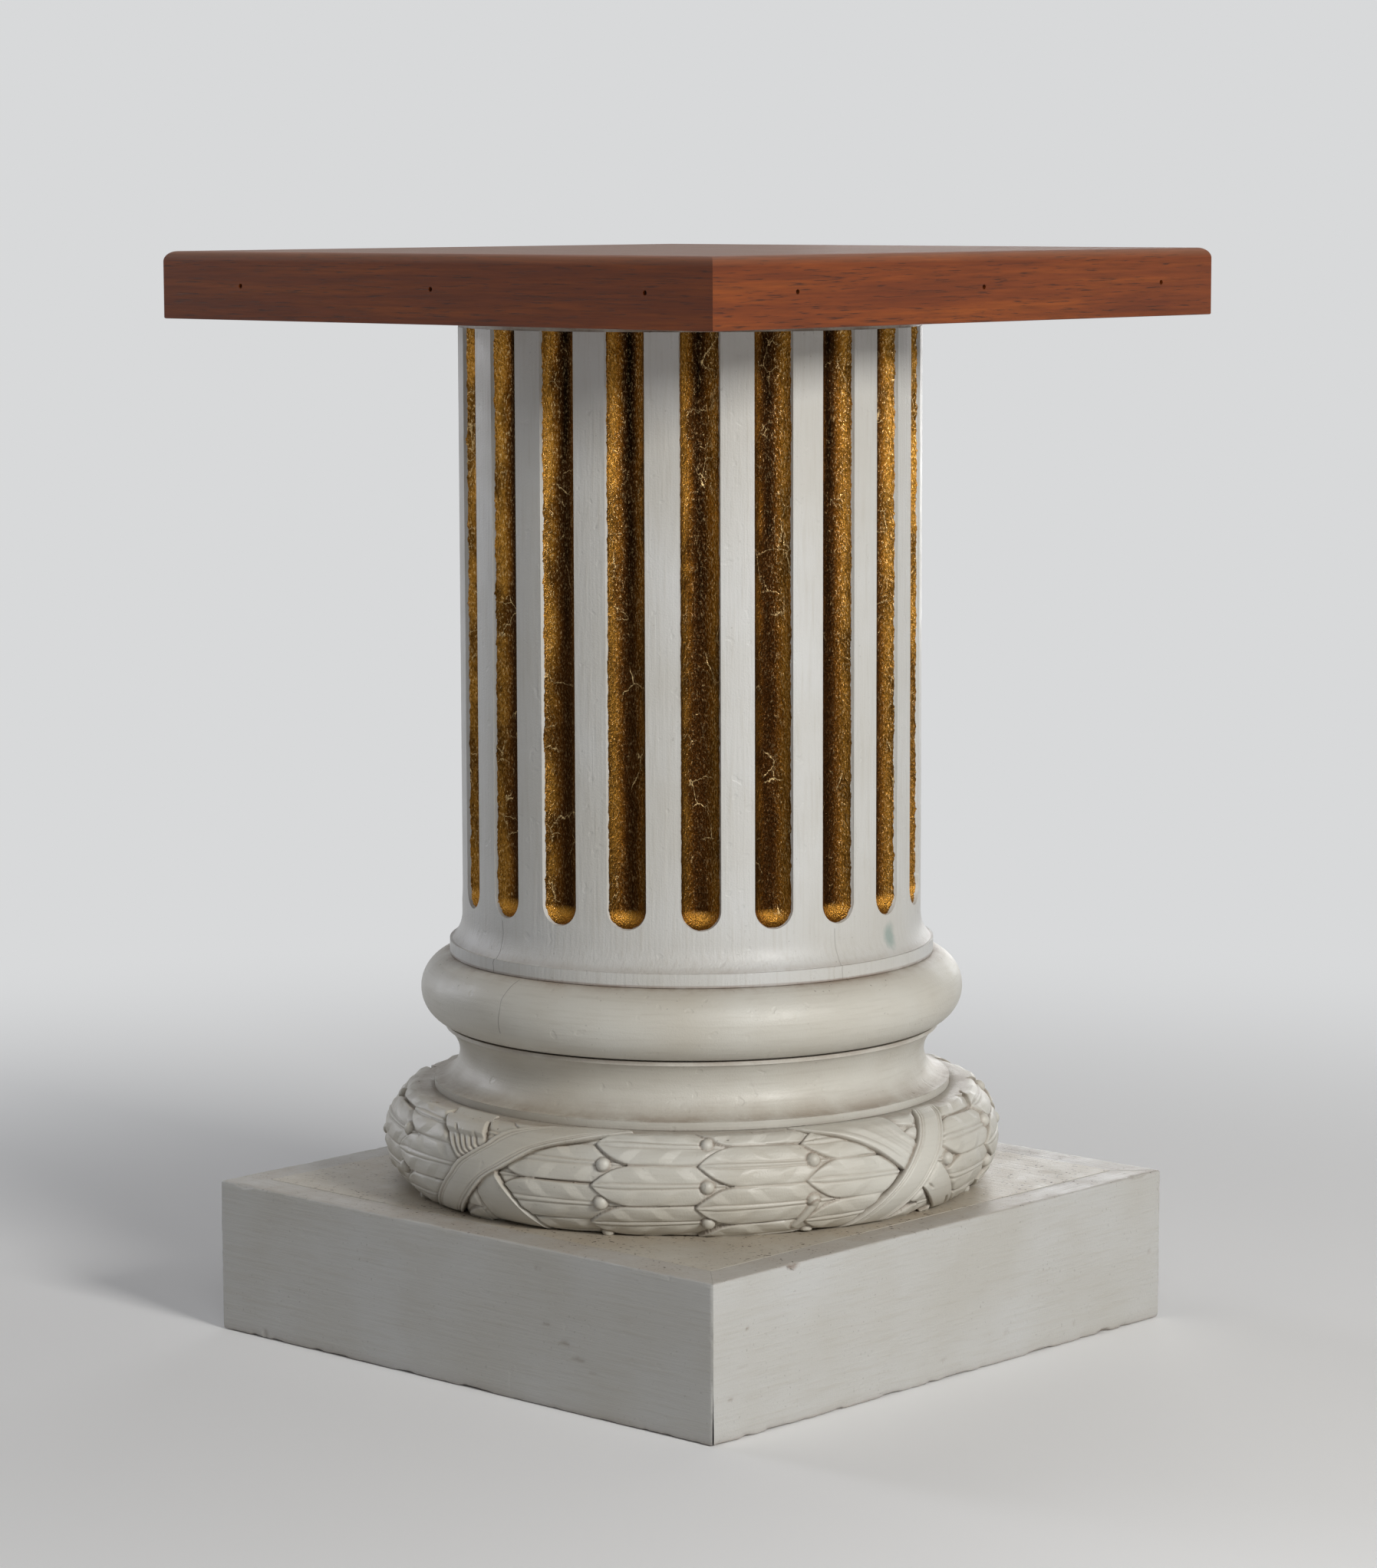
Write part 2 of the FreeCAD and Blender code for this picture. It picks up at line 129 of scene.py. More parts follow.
paint = {
    "cool": ("#CACAC8", "#C0BEB8"),  # clean and aged, high on the shaft
    "warm": ("#CBC9C1", "#BFBAAE"),  # yellowed on the mouldings
    "board": ("#C1C1BF", "#B9B7B1"),
    "worn": "#AAA498",
    "dust": "#A8947A",
    # dirt, and painted shade in coves, in the carving's hollows and under the torus
    "grime": "#6E5138",
    "speck": "#40311F",
    "hollowDirtAndShade": 0.64,  # share of grime and painted shade in the carving's deepest lines
    "dustCalm": (0.04, 0.22),  # least and most dust on what faces up, and what a dusty piece adds
    "dustMore": (0.2, 0.3),
    "grimeWaver": 0.0022,
    # spacings in mm
    "brushLine": 2.2,  # coarser than a bristle, so that it shows
    "brushRun": 0.06,  # a brush line's spacing over its length
    "orangePeel": 1.2,
    "drift": 110,
    "patch": 30,
    "speckle": 2.3,
    "dent": 8,
}


def crackMask(add, angle, height, radius, crack, wobble):
    # a fine line through the crack's points, drawn round a surface of revolution
    dark, *points = crack
    (low, first), high = points[0], points[-1][0]
    share = add("MapRange", [height, low, high])
    curve = add("FloatCurve", {1: share})
    line = curve.mapping.curves[0]
    spots = [((z - low) / (high - low), 0.5 + (degrees - first) / (2 * crackSpan)) for z, degrees in points]
    line.points[0].location, line.points[1].location = spots[0], spots[-1]
    for spot in spots[1:-1]:
        line.points.new(*spot)
    for point in line.points:
        point.handle_type = "VECTOR"
    curve.mapping.update()
    span = math.radians(2 * crackSpan)
    aim = add("Math MULTIPLY_ADD", [curve, span, math.radians(first) - span / 2])
    aim = add("Math MULTIPLY_ADD", [wobble, crackWaver, aim])
    off = add("Math SUBTRACT", [angle, aim])
    off = add("Math ADD", [off, crackWaver / 2])  # the wobble's own mean
    gap = add("Math ABSOLUTE", [off])
    gap = add("Math MULTIPLY", [gap, radius])
    line = add("MapRange", [gap, crackHalfWidth * 0.4, crackHalfWidth * 1.6, dark, 0])
    above = add("Math GREATER_THAN", [height, low])
    below = add("Math LESS_THAN", [height, high])
    within = add("Math MULTIPLY", [above, below])
    return add("Math MULTIPLY", [line, within])


def bonePaint(add, stroke, tone, grime=(), crackNames=(), hollows=False, strokeDepth=0.75, dusty=0.0):
    # Bone-white oil paint brushed on wood, aged: satin, with brush lines, dust where it can lie, small dents.
    place = add("TexCoord").outputs["Object"]
    x, y, z = add("SeparateXYZ", [place]).outputs
    angle = add("Math ARCTAN2", [y, x])
    flat = add("VectorMath MULTIPLY", [place, (1, 1, 0)])
    radius = add("VectorMath LENGTH", [flat])
    short = paint["brushRun"]
    if stroke == "turned":
        around = add("Math MULTIPLY", [angle, 0.2 * short])
        along = add("CombineXYZ", [around, radius, z])
    else:
        stretch = {"upright": (1, 1, short), "alongX": (short, 1, 1), "alongY": (1, short, 1)}[stroke]
        along = add("Mapping", {"Vector": place, "Scale": stretch})
    strokes, peel, drift, patches, dots, dents = [
        add("TexNoise", {"Vector": at, "Scale": perMetre(paint[size]), "Detail": detail, "Roughness": rough})
        for at, size, detail, rough in (
            (along, "brushLine", 3, 0.5), (place, "orangePeel", 2, 0.5), (place, "drift", 3, 0.5),
            (place, "patch", 5, 0.7), (place, "speckle", 0, 0.5), (place, "dent", 1, 0.5))]

    share = add("MapRange", [drift, 0.35, 0.65])
    clean, aged = paint[tone]
    bone = add("Mix", {0: share, 6: clean, 7: aged}, data_type="RGBA")
    layers = [(add("MapRange", [strokes, 0.5, 0.8, 0, 0.3]), "worn")]

    # dust on what faces up
    facing = add("SeparateXYZ", [add("NewGeometry").outputs["Normal"]]).outputs[2]
    upward = add("MapRange", [facing, 0.5, 0.98])
    least, most = [calm + more * dusty for calm, more in zip(paint["dustCalm"], paint["dustMore"])]
    lies = add("MapRange", [patches, 0.35, 0.7, least, most])
    if dusty:
        nearWreath = add("MapRange", [radius, 0.2, 0.25, 1.25, 0.75])
        lies = add("Math MULTIPLY", [lies, nearWreath])
    layers.append((add("Math MULTIPLY", [upward, lies]), "dust"))

    broken = add("MapRange", [patches, 0.32, 0.6, 0.35, 1])
    # dirt in lines by height where parts meet; on the mouldings also painted shade in the cove and under the
    # torus
    if grime:
        waver = paint["grimeWaver"]
        wavy = add("Math MULTIPLY_ADD", [patches, waver, z])
        low, high = grime[0][0], grime[-1][0]
        share = add("MapRange", [wavy, low + waver / 2, high + waver / 2])
        stops = [((height - low) / (high - low), dirtAndShade) for height, dirtAndShade in grime]
        lines = add("ValToRGB", [share], stops=stops)
        layers.append((add("Math MULTIPLY", [lines, broken]), "grime"))
    # dirt and painted shade in the carving's hollows
    if hollows:
        hollow = add("Attribute", attribute_name="recess").outputs["Fac"]
        amount = add("Math MULTIPLY", [hollow, broken])
        layers.append((add("Math MULTIPLY", [amount, paint["hollowDirtAndShade"]]), "grime"))

    # a few dark specks, in loose groups
    grouped = add("MapRange", [patches, 0.5 - 0.12 * dusty, 0.62])
    speck = add("MapRange", [dots, 0.79 - 0.07 * dusty, 0.815 - 0.07 * dusty])
    amount = add("Math MULTIPLY", [speck, grouped])
    lying = add("MapRange", [facing, 0.5, 0.98, 0.25, 1])
    layers.append((add("Math MULTIPLY", [amount, lying]), "speck"))

    dent = add("MapRange", [dents, 0.68, 0.76])
    depths = [(peel, 0.4), (dent, -0.5)]
    for name in crackNames:
        crack = crackMask(add, angle, z, radius, cracks[name], patches)
        layers.append((crack, "speck"))
        depths.append((crack, -1.5))
    for amount, colour in layers:
        bone = add("Mix", {0: amount, 6: bone, 7: paint[colour]}, data_type="RGBA")
    relief = add("Math MULTIPLY", [strokes, strokeDepth])
    for pattern, depth in depths:
        relief = add("Math MULTIPLY_ADD", [pattern, depth, relief])
    bump = add("Bump", {"Strength": 0.65, "Distance": 0.0006, "Height": relief})
    gloss = add("MapRange", [patches, 0.3, 0.7, 0.36, 0.52])
    shader = add("BsdfPrincipled", {"Base Color": bone, "Roughness": gloss, "Normal": bump, "IOR": 1.48})
    return shader, bone, place, angle, radius, z, patches


def makeBonePaint(name, stroke, tone, **how):
    material, add = newMaterial(name)
    add("OutputMaterial", [bonePaint(add, stroke, tone, **how)[0]])
    return material


gilding = {
    # painted highlight: the gold of the flute walls and the ball ends
    "paintedHighlight": "#BE8836",
    "leaf": "#855519",
    "ground": "#3B220B",  # brown size shows through where the leaf is rubbed; also the painted reflection along each flute's middle and the painted shade lower down
    # the darkest part of the painted reflection along each flute's middle, also used in the leaf's pits
    "deep": "#120803",
    "glint": "#FFE0A4",
    "dulledByPaintedLight": 0.6,  # painted shade: how much browner and darker the leaf is mixed down the shaft, between the next heights
    "paintedShadeBetween": (0.43, 0.66),
    # spacings in mm
    "grain": 1.0,  # wrinkles of the leaf, drawn coarser than real ones so that they show
    "ripple": 4,
    "rub": 18,
    "waver": 9,
    "crease": 21,
}


def makeGildedShaft(name, grime):
    # Bone paint on the lands; in the flutes gold leaf on oil, rubbed and crinkled, with painted reflection:
    # bright walls, brown middle.
    material, add = newMaterial(name)
    painted, bone, place, angle, radius, z, patches = bonePaint(
        add, "upright", "cool", grime=grime, crackNames=("leftStave", "rightStave"))

    # the smear, broken up by the patches
    aside = add("Math SUBTRACT", [angle, math.radians(stain["angle"])])
    aside = add("Math MULTIPLY", [aside, shaft["radius"] / stain["halfWidth"]])
    up = add("Math SUBTRACT", [z, stain["height"]])
    up = add("Math MULTIPLY", [up, 1 / stain["halfHeight"]])
    away = add("VectorMath LENGTH", [add("CombineXYZ", [aside, up])])
    away = add("Math MULTIPLY_ADD", [patches, 2.4, away])
    smeared = add("MapRange", [away, 1.3, 2.1, 0.75, 0])
    stained = add("Mix", {0: smeared, 6: bone, 7: stain["colour"]}, data_type="RGBA")
    material.node_tree.links.new(stained.outputs[2], painted.inputs["Base Color"])

    # the distance from the middle line of the nearest flute, and round its ball end
    step = math.radians(360 / shaft["fluteCount"])
    half = shaft["fluteWidth"] / 2
    turn = add("Math SUBTRACT", [angle, math.radians(shaft["frontAngle"])])
    off = add("Math WRAP", [turn, step / 2, -step / 2])
    across = add("Math MULTIPLY", [off, shaft["radius"]])
    below = add("Math SUBTRACT", [shaft["fluteFoot"] + half, z])
    below = add("Math MAXIMUM", [below, 0])
    distance = add("VectorMath LENGTH", [add("CombineXYZ", [across, below])])

    flow = add("Mapping", {"Vector": place, "Scale": (1, 1, 0.45)})
    waver, grain, ripples, rubs = [
        add("TexNoise", {"Vector": at, "Scale": perMetre(gilding[size]), "Detail": 4, "Roughness": rough})
        for at, size, rough in (
            (place, "waver", 0.75), (flow, "grain", 0.7), (flow, "ripple", 0.65), (flow, "rub", 0.6))]
    reach = half - shaft["gildingInset"] + shaft["gildingWaver"] / 2
    edge = add("Math MULTIPLY_ADD", [waver, -shaft["gildingWaver"], reach])
    inside = add("Math LESS_THAN", [distance, edge])
    outer = add("Math GREATER_THAN", [radius, shaft["bore"]])
    gilded = add("Math MULTIPLY", [inside, outer])

    # painted reflection: brown along the middle, which wanders, and bright at the walls
    shifted = add("Math MULTIPLY_ADD", [rubs, 0.007, -0.0035])
    shifted = add("Math ADD", [across, shifted])
    middle = add("Math ABSOLUTE", [shifted])
    share = add("MapRange", [middle, 0.001, 0.0105])
    gold = add("ValToRGB", [share], stops=[
        (0.0, gilding["deep"]), (0.3, gilding["ground"]), (0.65, gilding["leaf"]), (1.0, gilding["paintedHighlight"])])
    rubbed = add("MapRange", [rubs, 0.46, 0.62, 0, 0.7])
    # painted shade: the leaf is mixed browner and darker towards the shaft's foot
    low, high = gilding["paintedShadeBetween"]
    paintedShadeBelow = add("MapRange", [z, low, high, gilding["dulledByPaintedLight"], 0])
    pits = add("MapRange", [grain, 0.49, 0.38, 0, 0.55])
    foot = add("MapRange", [below, 0.001, 0.008, 0, 0.8])  # painted highlight: the ball end is mixed to the bright gold
    glint = add("MapRange", [grain, 0.56, 0.66, 0, 0.75])
    toWall = add("MapRange", [share, 0.2, 0.8, 0.3, 1])
    kept = add("Math SUBTRACT", [1.0, paintedShadeBelow])
    for limit in (toWall, kept):
        glint = add("Math MULTIPLY", [glint, limit])

    # creases where the leaf wrinkled and lapped: fine straight lines painted as highlights, here and there
    bent = add("VectorMath MULTIPLY_ADD", [ripples.outputs["Color"], [0.006] * 3, place])
    cells = add("TexVoronoi", {"Vector": bent, "Scale": perMetre(gilding["crease"])},
                feature="DISTANCE_TO_EDGE")
    crease = add("MapRange", [cells, 0.003, 0.014, 0.6, 0])
    shown = add("MapRange", [rubs, 0.55, 0.62])
    crease = add("Math MULTIPLY", [crease, shown])
    for amount, colour in ((rubbed, "ground"), (paintedShadeBelow, "ground"), (pits, "deep"), (foot, "paintedHighlight"),
                           (glint, "glint"), (crease, "glint")):
        gold = add("Mix", {0: amount, 6: gold, 7: gilding[colour]}, data_type="RGBA")

    relief = add("Math MULTIPLY_ADD", [ripples, 1.4, grain])
    relief = add("Math MULTIPLY_ADD", [crease, 0.4, relief])
    bump = add("Bump", {"Strength": 0.8, "Distance": 0.0007, "Height": relief})
    gloss = add("MapRange", [grain, 0.42, 0.6, 0.34, 0.18])
    gloss = add("Math MULTIPLY_ADD", [foot, -0.08, gloss])
    gilt = add("BsdfPrincipled", {"Base Color": gold, "Roughness": gloss, "Metallic": 1, "Normal": bump})
    add("OutputMaterial", [add("MixShader", [gilded, painted, gilt])])
    return material


mahogany = {
    "highlight": "#8C4716",
    "fibre": "#4A2209",
    "pore": "#220F05",
    "rubbedArrisAndHighlight": "#A87C5E",
    # painted sheen: grey-brown mixed into the top board, standing in for the sheen on its face
    "dulledByPaintedLight": "#7C604C",
    "sheen": 0.3,  # open pores swallow part of the reflection, 0.5 being a closed film
    "arris": (0.7335, 0.7385),  # heights between which the top's rounded arris is rubbed pale, with a painted highlight
    "run": 0.045,  # a pattern's spacing across the grain over that along it
    # spacings in mm
    "band": 9,
    "fibreWidth": 1.6,  # coarser than real fibres, so that they show
    "poreWidth": 0.8,
    "wear": 25,
}


def makeMahogany(name, grain, pale, deep, dulledByPaintedLight=0.0):
    # Mahogany, planed, oiled and rubbed: red-brown, satin, with level ribbon figure and open pores.
    material, add = newMaterial(name)
    place = add("TexCoord").outputs["Object"]
    run = mahogany["run"]
    stretch = (run, 1, 1) if grain == "alongX" else (1, run, 1)
    along = add("Mapping", {"Vector": place, "Scale": stretch})
    tilted = add("Mapping", {"Vector": place, "Rotation": (0.03, -0.045, 0.05), "Scale": stretch})
    bands, fibres, pores, wear = [
        add("TexNoise", {"Vector": at, "Scale": perMetre(mahogany[size]), "Detail": detail,
                         "Roughness": rough, "Distortion": bend})
        for at, size, detail, rough, bend in (
            (tilted, "band", 5, 0.6, 0.15), (along, "fibreWidth", 4, 0.6, 0), (along, "poreWidth", 2, 0.5, 0),
            (along, "wear", 5, 0.6, 0))]
    wood = add("ValToRGB", [bands], stops=[(0.3, deep), (0.52, pale), (0.72, mahogany["highlight"])])
    fibre = add("MapRange", [fibres, 0.4, 0.75, 0, 0.6])
    pore = add("MapRange", [pores, 0.6, 0.7, 0, 0.65])
    # the rounded arris is rubbed pale and given a painted highlight
    low, high = mahogany["arris"]
    arris = add("MapRange", [add("SeparateXYZ", [place]).outputs[2], low, high, 0, 0.5])
    arris = add("Math MULTIPLY", [arris, wear])
    layers = [(fibre, "fibre"), (pore, "pore"), (arris, "rubbedArrisAndHighlight")]
    # painted sheen: the top board is mixed grey-brown in patches
    if dulledByPaintedLight:
        layers.append((add("MapRange", [wear, 0.3, 0.7, dulledByPaintedLight * 0.5, dulledByPaintedLight]), "dulledByPaintedLight"))
    for amount, colour in layers:
        wood = add("Mix", {0: amount, 6: wood, 7: mahogany[colour]}, data_type="RGBA")
    relief = add("Math MULTIPLY_ADD", [pore, -0.8, fibres])
    bump = add("Bump", {"Strength": 0.45, "Distance": 0.0003, "Height": relief})
    gloss = add("MapRange", [fibres, 0.3, 0.7, 0.4, 0.52])
    shader = add("BsdfPrincipled", {"Base Color": wood, "Roughness": gloss, "Normal": bump, "IOR": 1.5,
                                    "Specular IOR Level": mahogany["sheen"]})
    add("OutputMaterial", [shader])
    return material


pine = {
    "tones": [(0.3, "#8C683F"), (0.55, "#B48C5C"), (0.75, "#C6A274")],
    "growthBand": 8,  # mm
    "sawLine": 1.5,  # mm
}


def makeRawPine(name):
    # Sawn pine, never painted: pale yellow with soft growth bands and saw lines.
    material, add = newMaterial(name)
    place = add("TexCoord").outputs["Object"]
    along = add("Mapping", {"Vector": place, "Scale": (0.08, 1, 1)})
    growth, saw = [add("TexNoise", {"Vector": along, "Scale": perMetre(pine[size]), "Detail": 3})
                   for size in ("growthBand", "sawLine")]
    wood = add("ValToRGB", [growth], stops=pine["tones"])
    bump = add("Bump", {"Strength": 0.4, "Distance": 0.0004, "Height": saw})
    shader = add("BsdfPrincipled", {"Base Color": wood, "Roughness": 0.75, "Normal": bump})
    add("OutputMaterial", [shader])
    return material


bloom = {"colour": "#3A2A20", "spot": 1.5}  # the spot's size in mm


def makeWireSteel(name, tone, roughness):
    # Plain wire steel gone dull, with a brown bloom.
    material, add = newMaterial(name)
    place = add("TexCoord").outputs["Object"]
    spots = add("TexNoise", {"Vector": place, "Scale": perMetre(bloom["spot"]), "Detail": 4})
    colour = add("Mix", {0: spots, 6: tone, 7: bloom["colour"]}, data_type="RGBA")
    shader = add("BsdfPrincipled", {"Base Color": colour, "Metallic": 1, "Roughness": roughness})
    add("OutputMaterial", [shader])
    return material


print("materials")
# dirt by height where mouldings meet, and painted shade in the scotia's cove and under the torus
mouldingGrimeAndShade = [(0.17, 0.0), (0.1712, 0.35), (0.1735, 0.1), (0.1762, 0.05), (0.1772, 0.5), (0.181, 0.25),
                 (0.192, 0.06), (0.209, 0.06), (0.2125, 0.2), (0.2147, 0.45), (0.2162, 0.08), (0.225, 0.0),
                 (0.2595, 0.0), (0.2618, 0.15), (0.264, 0.75)]
shaftGrime = [(0.2625, 0.0), (0.2633, 0.8), (0.2645, 0.55), (0.2654, 0.0), (0.2718, 0.0), (0.2735, 0.22),
              (0.2765, 0.06), (0.3, 0.0)]
boardGrime = [(0.0, 0.5), (0.003, 0.12), (0.01, 0.0), (0.1025, 0.0), (0.1045, 0.12)]
turnedPaint = makeBonePaint("boneOilPaintTurned", "turned", "warm", grime=mouldingGrimeAndShade,
                            crackNames=("torus",), strokeDepth=0.4)
boardPaintX, boardPaintY = [
    makeBonePaint("boneOilPaintBoards" + axis, "along" + axis, "board", grime=boardGrime, hollows=True,
                  strokeDepth=1.3, dusty=0.6) for axis in "XY"]
deckPaint = makeBonePaint("boneOilPaintDeck", "alongX", "warm", dusty=1.0)
carvedPaint = makeBonePaint("boneOilPaintCarved", "turned", "warm", hollows=True, strokeDepth=0.25)
gildedShaft = makeGildedShaft("gildedShaft", shaftGrime)
mahoganyX, mahoganyY = [
    makeMahogany("mahoganyGrain" + axis, "along" + axis, "#74360F", "#5C270A") for axis in "XY"]
# the top board's greyer tones and its dulled mix are painted sheen
mahoganyTop = makeMahogany("mahoganyTopBoard", "alongX", "#6B3F2A", "#502C1B", 0.4)
rawPine = makeRawPine("sawnPine")
screwSteel = makeWireSteel("dullScrewSteel", "#8A8780", 0.42)
nailIron = makeWireSteel("blackNailIron", "#2A2624", 0.6)


# pieces of the frame that keep their shape and take their finish
weldDistance = 0.000004
creaseAngle = math.radians(28)


def dress(nodeName, material):
    piece = nodes[nodeName]
    piece.data.materials.clear()
    piece.data.materials.append(material)
    for face in piece.data.polygons:
        face.use_smooth = True
    weld = piece.modifiers.new("weld", "WELD")
    weld.merge_threshold = weldDistance
    crease = piece.modifiers.new("crease", "EDGE_SPLIT")
    crease.split_angle = creaseAngle


for material, nodeNames in (
        (gildedShaft, ["shaft_stave_%d" % index for index in range(1, 9)]),
        (turnedPaint, ["torus_quadrant_%d" % index for index in range(1, 5)] + ["scotia_disc", "head_plate"]),
        (mahoganyX, ["top_lipping_1", "top_lipping_3"]),
        (mahoganyY, ["top_lipping_2", "top_lipping_4"]),
        (mahoganyTop, ["top_panel"]),
        (deckPaint, ["plinth_deck"]),
        (rawPine, ["head_block", "foot_block", "plinth_corner_blocks"]),
        (screwSteel, ["top_screws", "foot_screws", "deck_screws"]),
        (nailIron, ["lipping_nails"])):
    for nodeName in nodeNames:
        dress(nodeName, material)


def bell(x, width):
    # a smooth hump, 1 in its middle
    return np.exp(-(x / width) ** 2)


leaf = {  # mm
    "half": 13.75,  # half a row
    "length": 98.0,
    "point": 27.0,  # from the point to the full width
    "fullness": 0.85,  # under 1 the point is blunter
    "tipLift": 4.1,  # over the core
    "rootLift": 1.3,
    "camber": 0.8,
    "veinPitch": 27.0,
    "veinDepth": 1.15,
    "veinShares": (0.68, 0.32),  # of the pitch, rising and falling
    "veinSlant": 0.9,
    "veinShift": 0.37,  # of the pitch, between the leaf's two halves
    "ribHeight": 0.95,
    "grooveDepth": 0.65,  # either side of the rib
    "grooveWidth": 0.42,
    "edgeDepth": 1.0,
    "edgeWidth": 1.3,
    "dirtAndShadeWidth": 0.55,
}


def leafEdge(along):
    # half width of a leaf at a distance behind its point
    share = np.clip(along / leaf["point"], 0, 1)
    return leaf["half"] * np.sin(share * math.pi / 2) ** leaf["fullness"]


def veinWave(phase):
    # broad cuts of a flat gouge: each rises slowly and falls off short
    share = phase % 1.0
    rising, falling = leaf["veinShares"]
    return np.where(share < rising, share / rising, (1 - share) / falling) - 0.5


farOff = 9.0  # mm, beyond any leaf's edge


def carveLeaf(along, across, lift, phase):
    # height over the core, in mm, and dirt with painted shade, of one leaf; along runs back from its point
    side = np.abs(across)
    inside = leafEdge(np.maximum(along, 0)) - side
    length, camber = leaf["length"], leaf["camber"]
    body = np.clip((along - leaf["point"]) / (length - leaf["point"]), 0, 1)
    surface = lift + (leaf["rootLift"] - leaf["tipLift"]) * body
    surface = surface + camber * np.sin(np.clip(side / leaf["half"], 0, 1) * math.pi) - camber / 2
    reach = smoothStep(1.8, 6.0, side) * smoothStep(0.0, 3.5, inside)
    phase = np.where(across > 0, phase, phase + leaf["veinShift"])
    vein = veinWave((along + leaf["veinSlant"] * side) / leaf["veinPitch"] + phase)
    surface = surface + leaf["veinDepth"] * vein * reach
    # the rib swells behind the point and thins toward the root
    ribHalf = 0.6 + 1.3 * smoothStep(0, 16, along) - 0.8 * np.clip(along / 70, 0, 1)
    surface = surface + leaf["ribHeight"] * bell(across, 0.8 * ribHalf) * smoothStep(0, 4, along)
    groove = bell(side - ribHalf - 0.35, leaf["grooveWidth"]) * smoothStep(1.0, 6.0, along)
    edge = 1 - smoothStep(0.0, leaf["edgeWidth"], inside)
    surface = surface - leaf["grooveDepth"] * groove - leaf["edgeDepth"] * edge
    # dirt and painted shade in the rib's grooves and round the leaf's edge
    dirtAndShade = 0.5 * groove + 0.85 * bell(inside, leaf["dirtAndShadeWidth"])
    here = (inside > 0) & (along > 0) & (along < length)
    away = np.where(along < length, np.hypot(np.maximum(-inside, 0), np.maximum(-along, 0)), farOff)
    return surface, dirtAndShade, here, away


garlandLow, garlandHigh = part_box("laurel_garland_1")
garland = {
    "ring": 0.1711,  # metres, radius of the ring line of the core
    "core": 0.0359,  # metres, radius of the core round that line
    "midHeight": (garlandLow[2] + garlandHigh[2]) / 2,
    "back": 0.1708,  # metres, the flat back's radius
    "backCells": 4,
    "spread": 69.0,  # degrees of the core either way
    "rowPitch": 40.5,  # degrees round the core
    "rows": ((-76.5, 5), (-56.25, 4)),  # first leaf and their number, in every other column
    "columnPitch": 19.6,  # degrees round the ring
    "columns": 6,
    "firstColumn": -40.6,
    "seed": 11,  # of the hand carving's unevenness
    "shade": 0.3,  # dirt and painted shade on bare ground
    "settled": 0.6,  # share of the carving lost where it dies out towards the mouldings
    "slits": ((16.5, 30.5), (-36.0, -23.0)),  # degrees round the ring
    "slitHeight": 0.0014,  # metres
    # mm from here on
    "ringRadius": 206.0,  # where the leaves are drawn to size
    "coreRadius": 38.9,
    "berryRadius": 4.9,
    "berryLift": 1.2,
    "berryRim": 1.4,  # a groove round each berry
    "berryRoom": 3.5,  # no berry nearer than this to a ribbon
    "boss": (-12.9, -52, 4.2, 17.6),  # ring and core angle from the tie, radius and its square
    "moatDepth": 2.3,  # beside the ribbons
    "moatWidth": 1.7,
    "cell": 0.6,  # the mesh's pitch
}
radian = 57.2958  # degrees
ringMm = radian / garland["ringRadius"]  # degrees round the ring for a millimetre along it
coreMm = radian / garland["coreRadius"]  # and round the core

# the ribbons' lines, which the garland's carving also keeps clear of
ribbon = {
    "half": 10.8,  # mm
    "lift": 4.9,
    "reach": 72.0,  # degrees of the core either way
    "softCorner": 6,  # degrees either way over which a line's corners are rounded
    "alongCells": 220,
    "faceCells": 50,
    "backCells": 3,
    "edgeLine": 2.6,  # mm in from each edge runs a cut line
    "lineGap": 1.9,  # and this far from it a finer one
    "backDepth": 1.5,  # mm under the core's face
    "edgeDepth": 1.0,
    "dip": (2.0, 2.2),  # depth and width of the lower band's dip below the other, mm
    # Bands carved freehand, by kind of side: pairs of core angle and ring angle from the side's middle.
    "over": {
        0: ((-72, -16.0), (-57, -13.5), (-20, -6.0), (5, -1.0), (39, 9.0), (50, 14.2), (56, 17.6),
            (72, 26.0)),
        1: ((-72, -15.5), (-36.6, -9.0), (-8, -3.5), (26, 2.4), (50, 6.0), (72, 9.5)),
    },
    "underLeft": {
        0: ((-72, 3.5), (-57.5, 1.7), (-34, 0.7), (-17, -0.2), (12, -4.8), (30, -9.0), (48, -12.8),
            (72, -15.0)),
        1: ((-72, 9.5), (-54.5, 7.8), (-19, 0.1), (6, -6.1), (30, -11.8), (45, -17.0), (55, -23.0),
            (72, -28.0)),
    },
    "underRight": {
        0: ((-72, 15.0), (-50.5, 14.0), (-29.5, 10.5), (-12, 7.9), (6, 4.8), (31, 0.8), (53, -0.8),
            (72, -1.5)),
        1: ((-72, 15.5), (-54.5, 14.0), (-11, 7.0), (12, 2.5), (38, -3.0), (72, -5.0)),
    },
    # The lower band's cuts: place across it from -1 to 1, then first and last core angle.
    "cuts": {
        0: ((-0.68, 6, 36), (-0.36, 16, 46), (-0.06, 18, 38), (0.26, 20, 40), (0.56, 22, 42)),
        1: ((0.45, -54, -34), (-0.5, -22, -12), (0.5, 6, 60), (0.0, 10, 56), (-0.5, 16, 52)),
    },
    "deepCut": (1.5, 0.5),  # depth in mm, and dirt with painted shade
    "shallowCut": (0.35, 0.2),
}


def freehand(pairs, climb):
    # a line through the pairs, its corners rounded off
    soft = ribbon["softCorner"]
    offsets = np.linspace(-soft, soft, 2 * soft + 1)
    return sum(np.interp(climb + offset, *zip(*pairs)) for offset in offsets) / len(offsets)


